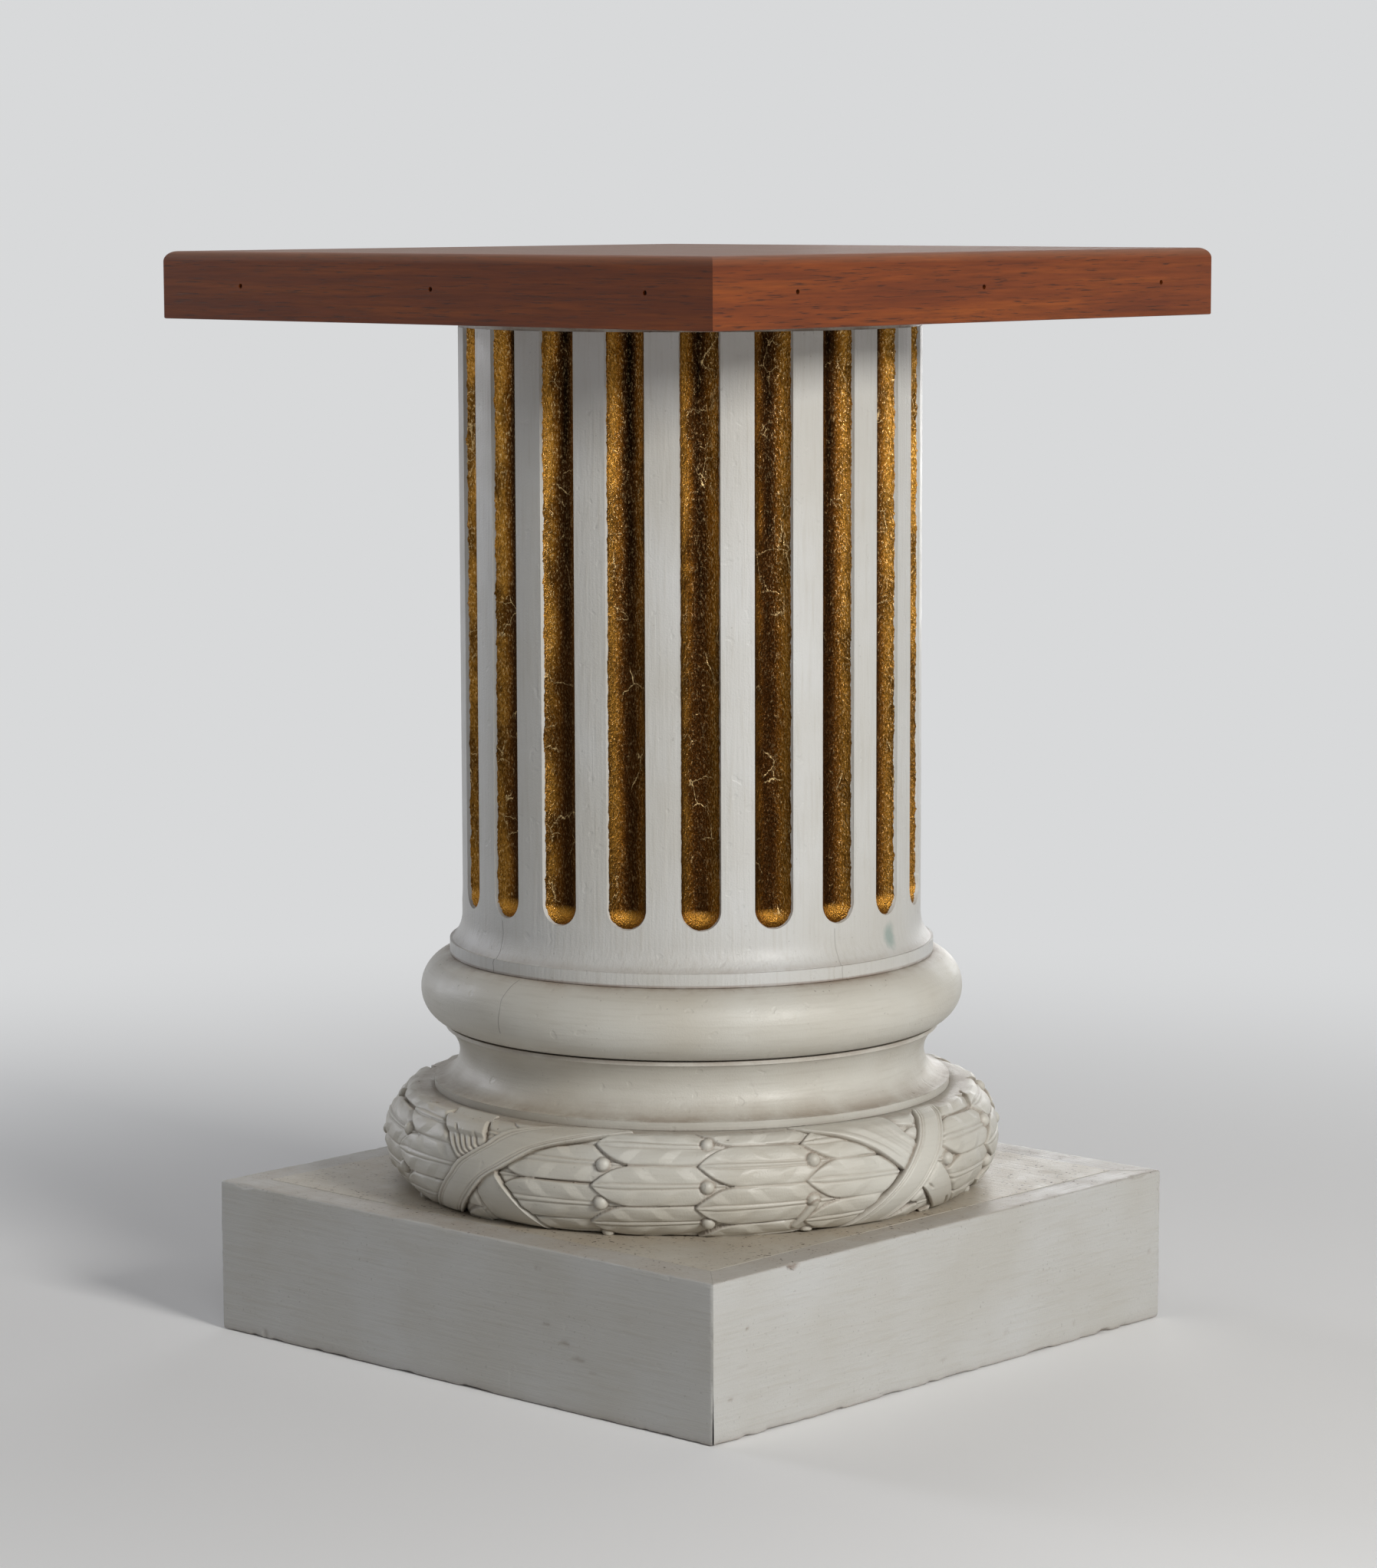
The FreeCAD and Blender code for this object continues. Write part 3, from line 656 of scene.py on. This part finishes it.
def bandEdges(kind, under, climb):
    # ring angles of a band's left and right edges, from the middle of its side, and its slope there
    lead = ribbon["underLeft" if under else "over"][kind]
    line = freehand(lead, climb)
    bend = (freehand(lead, climb + 1) - line) / ringMm * coreMm
    if under:
        return line, freehand(ribbon["underRight"][kind], climb), bend
    halfRing = ribbon["half"] * np.sqrt(1 + bend ** 2) * ringMm
    return line - halfRing, line + halfRing, bend


def besideBand(ring, climb, kind, under):
    # distance in mm outside a band, and 0 on it
    left, right, bend = bandEdges(kind, under, climb)
    outside = np.maximum(np.maximum(left - ring, ring - right), 0)
    return outside / ringMm / np.sqrt(1 + bend ** 2)


def addBerry(height, dirtAndShade, gap, size):
    # a ball where the gap is 0, in a groove
    ball = np.sqrt(np.maximum(size ** 2 - gap ** 2, 0)) + garland["berryLift"]
    here = gap < size
    height = np.where(here, np.maximum(height, ball), height)
    dirtAndShade = np.where(here, 0.7 * smoothStep(size - 0.9, size, gap), dirtAndShade)
    # dirt and painted shade darken the groove round the ball
    rim = (gap >= size) & (gap < size + garland["berryRim"])
    fade = 1.0 - (gap - size) / garland["berryRim"]
    dirtAndShade = np.where(rim, np.maximum(dirtAndShade, fade), dirtAndShade)
    return np.where(rim, height - 0.6 * fade, height), dirtAndShade


stem = {
    "start": (20.2, -17.0),  # ring and core angles
    "end": (17.2, -43.0),
    "half": 2.7,  # mm
    "lift": 2.8,
    "rim": 1.3,
}


def addStem(ring, lean, height, dirtAndShade):
    # one bare stalk right of the front corner, from a berry down to the plinth
    half = stem["half"]
    (startRing, startLean), (endRing, endLean) = stem["start"], stem["end"]
    ax, ay = (endRing - startRing) / ringMm, (endLean - startLean) / coreMm
    px, py = (ring - startRing) / ringMm, (lean - startLean) / coreMm
    share = np.clip((px * ax + py * ay) / (ax * ax + ay * ay), 0, 1)
    away = np.hypot(px - share * ax, py - share * ay)
    here = away < half
    stalk = stem["lift"] + np.sqrt(np.maximum(half ** 2 - away ** 2, 0)) * 0.8
    height = np.where(here, np.maximum(height, stalk), height)
    dirtAndShade = np.where(here, 0.5 * smoothStep(half - 0.9, half, away), dirtAndShade)
    # dirt and painted shade darken the groove round the stalk
    rim = (away >= half) & (away < half + stem["rim"])
    return height, np.where(rim, np.maximum(dirtAndShade, 0.8), dirtAndShade)


def carveGarland(ring, lean, index):
    # heights in mm over the core, and dirt with painted shade, for ring and core angles in degrees
    random = np.random.default_rng(garland["seed"] + index)
    ties = ((-45, index % 2), (45, (index + 1) % 2))  # where the ribbons cross, and which kind
    height = np.zeros_like(ring)
    dirtAndShade = np.full_like(ring, garland["shade"])
    for column in range(garland["columns"]):
        tipRing = garland["firstColumn"] + garland["columnPitch"] * (column - 1)
        firstRow, rows = garland["rows"][column % 2]
        columnHeight = np.full_like(ring, -farOff)
        columnDirtAndShade = np.zeros_like(ring)
        away = np.full_like(ring, farOff)
        for row in range(rows):
            lift = leaf["tipLift"] + random.uniform(-0.4, 0.5)
            tip = tipRing + random.uniform(-0.5, 0.5)
            middle = firstRow + garland["rowPitch"] * row + random.uniform(-0.8, 0.8)
            tilt = random.uniform(-0.04, 0.04)
            phase = random.uniform(0, 1)
            along = (ring - tip) / ringMm
            across = (lean - middle) / coreMm + tilt * (along - 30)
            surface, leafDirtAndShade, here, gap = carveLeaf(along, across, lift, phase)
            taken = here & (surface > columnHeight)
            columnHeight = np.where(taken, surface, columnHeight)
            columnDirtAndShade = np.where(taken, leafDirtAndShade, columnDirtAndShade)
            away = np.minimum(away, gap)
        # the ground is shaded and cut back beside the leaves
        covered = columnHeight > -farOff
        dirtAndShade = np.where(covered, columnDirtAndShade, np.maximum(dirtAndShade, np.exp(-away / 1.1)))
        height = np.where(covered, columnHeight, height - 0.9 * np.exp(-away / 0.9))
        for row in range(rows - 1):
            berryRing = tipRing + 2.0 + random.uniform(-0.5, 0.5)
            berryLean = firstRow + garland["rowPitch"] * (row + 0.5) + random.uniform(-1.0, 2.5)
            size = garland["berryRadius"] * random.uniform(0.9, 1.06)
            room = min(besideBand(berryRing - side, berryLean, kind, under)
                       for side, kind in ties for under in (False, True))
            if room < garland["berryRoom"]:
                continue
            gap = np.hypot((ring - berryRing) / ringMm, (lean - berryLean) / coreMm)
            height, dirtAndShade = addBerry(height, dirtAndShade, gap, size)
    if index == 0:
        height, dirtAndShade = addStem(ring, lean, height, dirtAndShade)
    bossRing, bossLean, bossRadius, bossSquare = garland["boss"]
    for side, kind in ties:
        if kind == 1:  # a small boss between the ribbon's legs
            gap = np.hypot((ring - side - bossRing) / ringMm, (lean - bossLean) / coreMm)
            boss = np.sqrt(np.maximum(bossSquare - gap ** 2, 0)) + 0.5
            height = np.where(gap < bossRadius, np.maximum(height, boss), height)
        for under in (False, True):
            beside = besideBand(ring - side, lean, kind, under)
            height = height - garland["moatDepth"] * bell(beside, garland["moatWidth"])
            height = np.where(beside < 0.01, np.minimum(height, 1.2), height)
            # dirt and painted shade beside the ribbons
            dirtAndShade = np.maximum(dirtAndShade, 0.95 * bell(beside, 1.3))
    dirtAndShade = np.maximum(dirtAndShade, 0.75 * smoothStep(57, 66, lean))
    settle = 1 - garland["settled"] * smoothStep(54, garland["spread"], np.abs(lean))
    return height * settle, np.clip(dirtAndShade, 0, 1)


def gridPiece(name, alongCells, acrossCells, place, finish=carvedPaint):
    # A sheet of cells rolled into a tube by place(u, v), which gives points and dirt (on the carving also
    # painted shade), and capped.
    bm = bmesh.new()
    bmesh.ops.create_grid(bm, x_segments=alongCells, y_segments=acrossCells, size=1.0)
    mesh = bpy.data.meshes.new(name)
    bm.to_mesh(mesh)
    bm.free()
    grid = np.empty(len(mesh.vertices) * 3)
    mesh.vertices.foreach_get("co", grid)
    grid = grid.reshape(-1, 3)
    points, dirtAndShade = place(grid[:, 0], grid[:, 1])
    mesh.vertices.foreach_set("co", points.ravel())
    layer = mesh.attributes.new("recess", "FLOAT", "POINT")
    layer.data.foreach_set("value", dirtAndShade.astype(np.float32))
    bm = bmesh.new()
    bm.from_mesh(mesh)
    bmesh.ops.remove_doubles(bm, verts=bm.verts, dist=0.00001)
    bmesh.ops.holes_fill(bm, edges=[edge for edge in bm.edges if edge.is_boundary], sides=0)
    bmesh.ops.recalc_face_normals(bm, faces=bm.faces)
    for face in bm.faces:
        face.smooth = True
    bm.to_mesh(mesh)
    bm.free()
    piece = bpy.data.objects.new(name, mesh)
    bpy.context.scene.collection.objects.link(piece)
    mesh.materials.append(finish)
    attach(piece, "root")
    return piece


def onCore(ring, lean, height, centre, floor, roof):
    # points on the torus: ring and core angles in degrees, height over the core in mm
    radius = garland["core"] + height * millimetre
    radial = garland["ring"] + radius * np.cos(np.radians(lean))
    rise = np.clip(garland["midHeight"] + radius * np.sin(np.radians(lean)), floor, roof)
    turn = np.radians(ring + centre)
    return np.stack([radial * np.cos(turn), radial * np.sin(turn), rise], 1)


def buildGarland(index):
    # the carved face takes most of each loop of cells, the flat back the rest
    centre = shaft["frontAngle"] + 90 * index
    spread = garland["spread"]
    faceCells = int(2 * spread / coreMm / garland["cell"])
    backCells = garland["backCells"]
    cells = faceCells + backCells
    steps = int(90 / ringMm / garland["cell"])
    halfHeight = garland["core"] * math.sin(math.radians(spread))
    edgeLow, edgeHigh = garland["midHeight"] - halfHeight, garland["midHeight"] + halfHeight

    def place(u, v):
        ring = 45 * u
        step = (v + 1) / 2 * cells
        onFace = step <= faceCells + 0.01
        lean = -spread + 2 * spread * np.minimum(step / faceCells, 1)
        height, dirtAndShade = carveGarland(ring, lean, index)
        # at two places the wreath doesn't touch the plinth, and a dark slit shows
        slit = sum(smoothStep(start, start + 2, ring) * (1 - smoothStep(end - 4, end, ring))
                   for start, end in garland["slits"]) * garland["slitHeight"]
        points = onCore(ring, lean, height, centre, garlandLow[2] + slit, garlandHigh[2] - 0.0002)
        turn = np.radians(ring + centre)
        down = np.clip((step - faceCells - 1) / (backCells - 2), 0, 1)  # the loop closes behind
        behind = edgeHigh + (edgeLow - edgeHigh) * down
        back = np.stack([garland["back"] * np.cos(turn), garland["back"] * np.sin(turn), behind], 1)
        points = np.where(onFace[:, None], points, back)
        last = step > cells - 0.5
        start = np.full_like(ring, -spread)
        foot = onCore(ring, start, carveGarland(ring, start, index)[0], centre, garlandLow[2], garlandHigh[2])
        return np.where(last[:, None], foot, points), np.where(onFace, dirtAndShade, garland["shade"])

    piece = gridPiece("laurelGarland%d" % (index + 1), steps, cells, place)
    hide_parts("laurel_garland_%d" % (index + 1))


def ribbonFace(share, half, climb, kind, under):
    # height of the ribbon's face across its width, share from -1 to 1, and its dirt and painted shade
    inside = (1 - np.abs(share)) * half
    rounded = 1 - smoothStep(0.0, 0.9, inside)
    if not under:
        fromLine = inside - ribbon["edgeLine"]
        cutLine, innerLine = bell(fromLine, 0.55), bell(fromLine - ribbon["lineGap"], 0.45)
        face = ribbon["lift"] + 0.5 * (1 - share ** 2)
        face = face - 1.2 * cutLine - 0.6 * innerLine - 1.1 * rounded
        face = face - 0.5 * smoothStep(ribbon["edgeLine"], ribbon["edgeLine"] + 1.6, inside)
        dirtAndShade = 0.55 * cutLine + 0.3 * innerLine + 0.6 * bell(inside, 0.5)
    else:
        face = ribbon["lift"] - 0.3 - 0.9 * rounded + 0.3 * (1 - share ** 2)
        dirtAndShade = 0.6 * bell(inside, 0.5)
        if kind == 0:
            # its lower leg is dished, with a raised right edge, and its upper leg rolls over at the end
            lower = 1 - smoothStep(-6, 8, climb)
            face = face - lower * 1.7 * (1 - share) / 2 + lower * 0.8 * bell(inside - 1.2, 0.9) * (share > 0)
            roll = np.sqrt(np.clip(1 - ((climb - 46) / 10) ** 2, 0, 1))
            face = face - 1.6 * smoothStep(20, 36, climb) * (1 - smoothStep(36, 40, climb)) + 0.9 * roll
            face = face - 3.0 * smoothStep(55, 58, climb)
        else:
            # its upper leg fans out in shallow pleats
            face = face + smoothStep(2, 16, climb) * 0.35 * np.sin(share * 9 + climb * 0.05)
        for line, start, end in ribbon["cuts"][kind]:
            depth, shade = ribbon["deepCut" if kind == 0 or end < 0 else "shallowCut"]
            length = smoothStep(start, start + 4, climb) * (1 - smoothStep(end - 5, end, climb))
            cut = length * bell((share - line) * half, 0.8)
            face = face - depth * cut
            dirtAndShade = np.maximum(dirtAndShade, shade * cut)
    settle = 1 - 0.55 * smoothStep(48, 66, np.abs(climb))
    return face * settle, dirtAndShade


def buildRibbon(index, under):
    # the face takes most of each loop of cells, the hidden back the rest
    middle = shaft["frontAngle"] - 45 + 90 * index
    kind = index % 2
    faceCells, backCells = ribbon["faceCells"], ribbon["backCells"]
    cells = faceCells + backCells
    dipDepth, dipWidth = ribbon["dip"]

    def place(u, v):
        climb = ribbon["reach"] * u
        step = (v + 1) / 2 * cells
        onFace = step <= faceCells + 0.01
        share = np.where(onFace, -1 + 2 * step / faceCells, 1 - 2 * (step - faceCells) / backCells)
        left, right, bend = bandEdges(kind, under, climb)
        centre, halfRing = (left + right) / 2, (right - left) / 2
        half = halfRing / ringMm / np.sqrt(1 + bend ** 2)
        surface, dirtAndShade = ribbonFace(share, half, climb, kind, under)
        if under:  # it dips on its way below the other band
            beside = besideBand(centre + share * halfRing, climb, kind, False)
            surface = surface - dipDepth * bell(beside, dipWidth)
            # dirt and painted shade where it passes under the other band
            dirtAndShade = np.maximum(dirtAndShade, 0.9 * bell(beside, 1.3))
        height = np.where(onFace, surface, -ribbon["backDepth"])
        ends = (step < 0.5) | (step > cells - 0.5) | (np.abs(step - faceCells) < 0.5)
        height = np.where(ends, -ribbon["edgeDepth"], height)
        points = onCore(centre + share * halfRing, climb, height, middle,
                        garlandLow[2], garlandHigh[2] + 0.0007)
        return points, np.clip(dirtAndShade, 0, 1)

    name = "ribbon%s%d" % ("Under" if under else "Over", index + 1)
    return gridPiece(name, ribbon["alongCells"], cells, place)


print("garland")
for index in range(4):
    buildGarland(index)
print("ribbons")
for index in range(4):
    over = buildRibbon(index, False)
    buildRibbon(index, True)
    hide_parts("ribbon_tie_%d" % (index + 1))


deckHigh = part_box("plinth_deck")[1]
board = {  # metres
    "half": deckHigh[0] + 0.025,  # the deck lies 25 mm inside the boards' faces
    "thickness": 0.025,
    "height": deckHigh[2],
    "arris": 0.0015,
    "longCell": 0.0016,
    "crowding": 0.35,  # cells are this much finer near the mitres
    "wear": 0.0008,
    "wearWidth": 0.0022,
    "ragged": 0.003,  # depth and width of the foot's broken edge
    "cornerWidth": 0.0016,
    "planing": 0.0003,  # the plane left the faces this uneven, and took off the next
    "planed": 0.00016,
    "mitreGap": 0.00008,
    "mitreOpening": 0.0006,  # more at the foot, nothing above the next height
    "openBelow": 0.04,
    # by side: place along the board and height in mm, half length, half height, depth, dirt
    "marks": {
        1: ((75, 90, 7, 1.3, 0.7, 0.6), (84, 55, 4, 1.4, 0.4, 0.5), (100, 45, 6, 1.6, 0.5, 0.6),
            (112, 36, 7, 1.6, 0.6, 0.7), (125, 29, 5, 1.2, 0.4, 0.4), (-206, 104, 9, 2.0, 1.0, 0.2),
            (-186, 4, 3, 3, 0.8, 0.3)),
        2: ((-154, 103.5, 7, 3.6, 1.8, 1.0), (-202, 46, 9, 1.2, 0.5, 0.2), (-214, 27, 2.5, 1.0, 0.7, 0.8),
            (-5, 13.6, 4, 2.0, 0.7, 0.3), (168, 1, 9, 2.5, 1.4, 0.7), (-32, 14.5, 24, 0.8, 0.35, 0.1),
            (205, 104, 9, 3.0, 1.5, 0.4), (218, 48, 3, 2.4, 0.7, 0.4), (95, 1, 12, 1.8, 1.0, 0.6),
            (60, 20, 2.5, 1.6, 0.5, 0.3), (-198, 70, 1.6, 1.0, 0.6, 0.9), (134, 13, 2, 1.5, 0.5, 0.4)),
        3: ((-120, 104, 8, 2.4, 1.1, 0.5), (40, 30, 12, 1.2, 0.4, 0.3), (170, 1, 9, 2.4, 1.2, 0.6)),
        4: ((150, 104, 6, 2.4, 1.2, 0.4), (-60, 60, 9, 1.0, 0.4, 0.3), (20, 1, 14, 1.8, 1.0, 0.6)),
    },
}


def lumps(x, y, seed):
    # smooth noise from 0 to 1 on a lattice of whole numbers
    lattice = np.random.default_rng(seed).random((512, 128))
    i, j = np.floor(x).astype(int), np.floor(y).astype(int)
    tx, ty = smoothStep(0, 1, x - i), smoothStep(0, 1, y - j)
    i, j = i % 511, j % 127
    low = lattice[i, j] * (1 - tx) + lattice[i + 1, j] * tx
    high = lattice[i, j + 1] * (1 - tx) + lattice[i + 1, j + 1] * tx
    return low * (1 - ty) + high * ty


def boardSection():
    # the board's outline at its middle: depth behind the face, height, outward normal, and 1 where it shows
    arris, height, thickness = board["arris"], board["height"], board["thickness"]
    turns = [math.pi / 2 * step / 5 for step in range(6)]
    rows = [(arris - arris * math.sin(turn), arris - arris * math.cos(turn),
             math.sin(turn), -math.cos(turn), 1) for turn in turns]
    fine = list(np.linspace(arris + 0.0006, 0.007, 9)) + list(np.linspace(0.0086, height - 0.0086, 52))
    fine += list(np.linspace(height - 0.007, height - arris - 0.0006, 9))
    rows += [(0.0, z, 1.0, 0.0, 1) for z in fine]
    rows += [(arris - arris * math.cos(turn), height - arris + arris * math.sin(turn),
              math.cos(turn), math.sin(turn), 1) for turn in turns]
    across = list(np.linspace(arris + 0.0006, 0.008, 10)) + list(np.linspace(0.0105, thickness, 7))
    rows += [(depth, height, 0.0, 1.0, 1) for depth in across]
    rows += [(depth, z, 0.0, 0.0, 0) for depth, z in
             ((thickness, height * 0.5), (thickness, 0.0), (thickness * 0.5, 0.0))]
    return np.array(rows)


def buildBoard(side):
    section = boardSection()
    loop = np.vstack([section, section[:1]])
    half, wear, ragged = board["half"], board["wear"], board["ragged"]
    steps = int(2 * half / board["longCell"])
    turn = math.radians(90 * (side - 1))

    def place(u, v):
        row = np.rint((v + 1) / 2 * (len(loop) - 1)).astype(int)
        depth, height, outward, upward, shows = loop[row].T
        ease = np.sin(u * math.pi / 2) * board["crowding"] + u * (1 - board["crowding"])
        along = ease * (half - depth)
        s, z = along * 1000, height * 1000
        toTop = np.hypot(np.maximum(board["height"] - height, 0), depth)
        toFoot = np.hypot(height, depth)
        toEnd = half - np.abs(along)
        rough = lumps(s / 7 + 60, z / 9 + depth * 90, 31 * side) * 0.6
        rough = rough + lumps(s / 2.2 + 300, z / 3, 7 * side) * 0.4
        worn = bell(np.minimum(toTop, toFoot), board["wearWidth"])
        worn = worn * (0.25 + 1.2 * np.clip(rough - 0.35, 0, 1)) * wear
        torn = bell(toFoot, ragged) * np.clip(lumps(s / 9 + 20, z * 0, 5 * side) - 0.55, 0, 1) * ragged
        corner = bell(toEnd, board["cornerWidth"]) * (0.3 + rough) * wear * 0.7
        wave = (lumps(s / 60 + 9, z / 40, 3 * side) - 0.5) * board["planing"] + board["planed"]
        cut = worn + torn + corner + wave
        dirtAndShade = 0.5 * smoothStep(0.0006, 0.0016, worn + torn)
        for markAlong, markHeight, halfLong, halfHigh, deep, dark in board["marks"][side]:
            warp = (rough - 0.5) * 0.9
            away = np.hypot((s - markAlong) / halfLong, (z + depth * 600 - markHeight) / halfHigh) + warp
            hole = 1 - smoothStep(0.45, 1.05, away)
            cut = cut + hole * deep * millimetre
            dirtAndShade = np.maximum(dirtAndShade, hole * dark)
        cut = cut * shows
        behind = np.clip(depth + cut * outward, 0, board["thickness"])
        rise = np.clip(height - cut * upward, 0, board["height"])
        opening = board["mitreOpening"] * (1 - smoothStep(0.0, board["openBelow"], height)) * shows
        reach = half - behind - (board["mitreGap"] + opening)
        along = np.where(np.abs(u) > 0.9999, np.sign(u) * reach, np.clip(along, -reach, reach))
        x, y = along, behind - half
        points = [x * math.cos(turn) - y * math.sin(turn), x * math.sin(turn) + y * math.cos(turn), rise]
        return np.stack(points, 1), np.clip(dirtAndShade, 0, 1)

    finish = boardPaintX if side % 2 else boardPaintY
    piece = gridPiece("plinthBoard%d" % side, steps, len(loop) - 1, place, finish)
    crease = piece.modifiers.new("crease", "EDGE_SPLIT")
    crease.split_angle = math.radians(50)
    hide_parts("plinth_side_%d" % side)


print("plinth boards")
for side in range(1, 5):
    buildBoard(side)


studio = {
    "floorHalf": 6.0,  # metres
    "fadeFrom": 0.5,  # metres from the axis
    "fadeTo": 1.7,
    "floorTone": "#D8D9DA",
    "clothTone": "#F4F4F4",  # near white, because the lamps reach the floor at a slant
    "airTone": "#DDE0E4",
    "airStrength": 0.09,
    "aim": (0.0, 0.0, 0.4),  # the lamps point here
    # each lamp's place, width and height in metres, its watts and its tint
    "lamps": {
        "rightSoftbox": ((3.3, -0.55, 1.75), (0.9, 0.9), 86, "#FFFDF9"),
        "leftSoftbox": ((-3.2, -0.45, 1.15), (0.7, 1.5), 23, "#F8F9FF"),
        "frontSoftbox": ((2.4, -2.2, 2.4), (1.2, 1.2), 14, "#FFFFFF"),
        "backSoftbox": ((-1.4, 2.9, 0.65), (1.6, 0.9), 17, "#FFFFFF"),  # below the top's level
        "topSoftbox": ((-0.2, 0.4, 2.8), (1.6, 1.6), 7, "#FFFFFF"),
    },
    "cameraAzimuth": 42.8,  # degrees, the front corner stands 2.2 degrees right of the view
    "cameraDistance": 3.1562,  # from the shaft's axis
    "cameraHeight": 0.7777,
    "cameraDown": 7.24,  # degrees
    "cameraLeft": 0.0018,
    "cameraRoll": 0.167,
    "focalPixels": 6065.5,
    "imageLongSide": 2044,
    "sensor": 36.0,  # mm
}


def backdropRays(add):
    # 1 for what the camera sees directly, in metal or through something clear
    path = add("LightPath")
    ray = add("Math MAXIMUM", [path.outputs["Is Camera Ray"], path.outputs["Is Glossy Ray"]])
    return add("Math MAXIMUM", [ray, path.outputs["Is Transmission Ray"]])


def buildFloor():
    bm = bmesh.new()
    bmesh.ops.create_grid(bm, x_segments=1, y_segments=1, size=studio["floorHalf"])
    mesh = bpy.data.meshes.new("studioFloor")
    bm.to_mesh(mesh)
    bm.free()
    floor = bpy.data.objects.new("studioFloor", mesh)
    bpy.context.scene.collection.objects.link(floor)
    # matte floor near the object that fades into the backdrop's own tone further out
    material, add = newMaterial("matteFloor")
    place = add("TexCoord").outputs["Object"]
    away = add("VectorMath LENGTH", [place])
    fade = add("MapRange", [away, studio["fadeFrom"], studio["fadeTo"]],
               interpolation_type="SMOOTHSTEP")
    amount = add("Math MULTIPLY", [fade, backdropRays(add)])
    cloth = add("BsdfPrincipled", {"Base Color": studio["clothTone"], "Roughness": 0.9})
    glow = add("Emission", [studio["floorTone"], 1])
    add("OutputMaterial", [add("MixShader", [amount, cloth, glow])])
    mesh.materials.append(material)


def areaLight(name, place, size, watts, tint):
    light = bpy.data.lights.new(name, "AREA")
    light.shape = "RECTANGLE"
    light.size, light.size_y = size
    light.energy = watts
    light.color = hexColour(tint)[:3]
    lamp = bpy.data.objects.new(name, light)
    lamp.location = place
    lamp.rotation_euler = (Vector(studio["aim"]) - Vector(place)).to_track_quat("-Z", "Y").to_euler()
    bpy.context.scene.collection.objects.link(lamp)


def buildWorld():
    world = bpy.data.worlds.new("studioWorld")
    bpy.context.scene.world = world
    add = emptyTree(world)
    soft = add("Background", [studio["airTone"], studio["airStrength"]])
    seen = add("Background", [studio["floorTone"], 1])
    add("OutputWorld", [add("MixShader", [backdropRays(add), soft, seen])])


def buildCamera():
    turn = math.radians(studio["cameraAzimuth"])
    right = Vector((math.cos(turn), math.sin(turn), 0))
    back = Vector((math.sin(turn), -math.cos(turn), 0))
    up = Vector((0, 0, 1))
    lens = bpy.data.cameras.new("photoCamera")
    lens.sensor_width = studio["sensor"]
    lens.sensor_fit = "AUTO"
    lens.lens = studio["focalPixels"] * studio["sensor"] / studio["imageLongSide"]
    lens.clip_end = 40
    camera = bpy.data.objects.new("photoCamera", lens)
    camera.location = (back * studio["cameraDistance"] - right * studio["cameraLeft"]
                       + up * studio["cameraHeight"])
    down = math.radians(studio["cameraDown"])
    look = -back * math.cos(down) - up * math.sin(down)
    camera.rotation_euler = look.to_track_quat("-Z", "Y").to_euler()
    camera.rotation_euler.rotate_axis("Z", -math.radians(studio["cameraRoll"]))
    bpy.context.scene.collection.objects.link(camera)
    bpy.context.scene.camera = camera


print("studio")
buildFloor()
for name, lamp in studio["lamps"].items():
    areaLight(name, *lamp)
buildWorld()
buildCamera()
bpy.context.scene.view_settings.view_transform = "Standard"
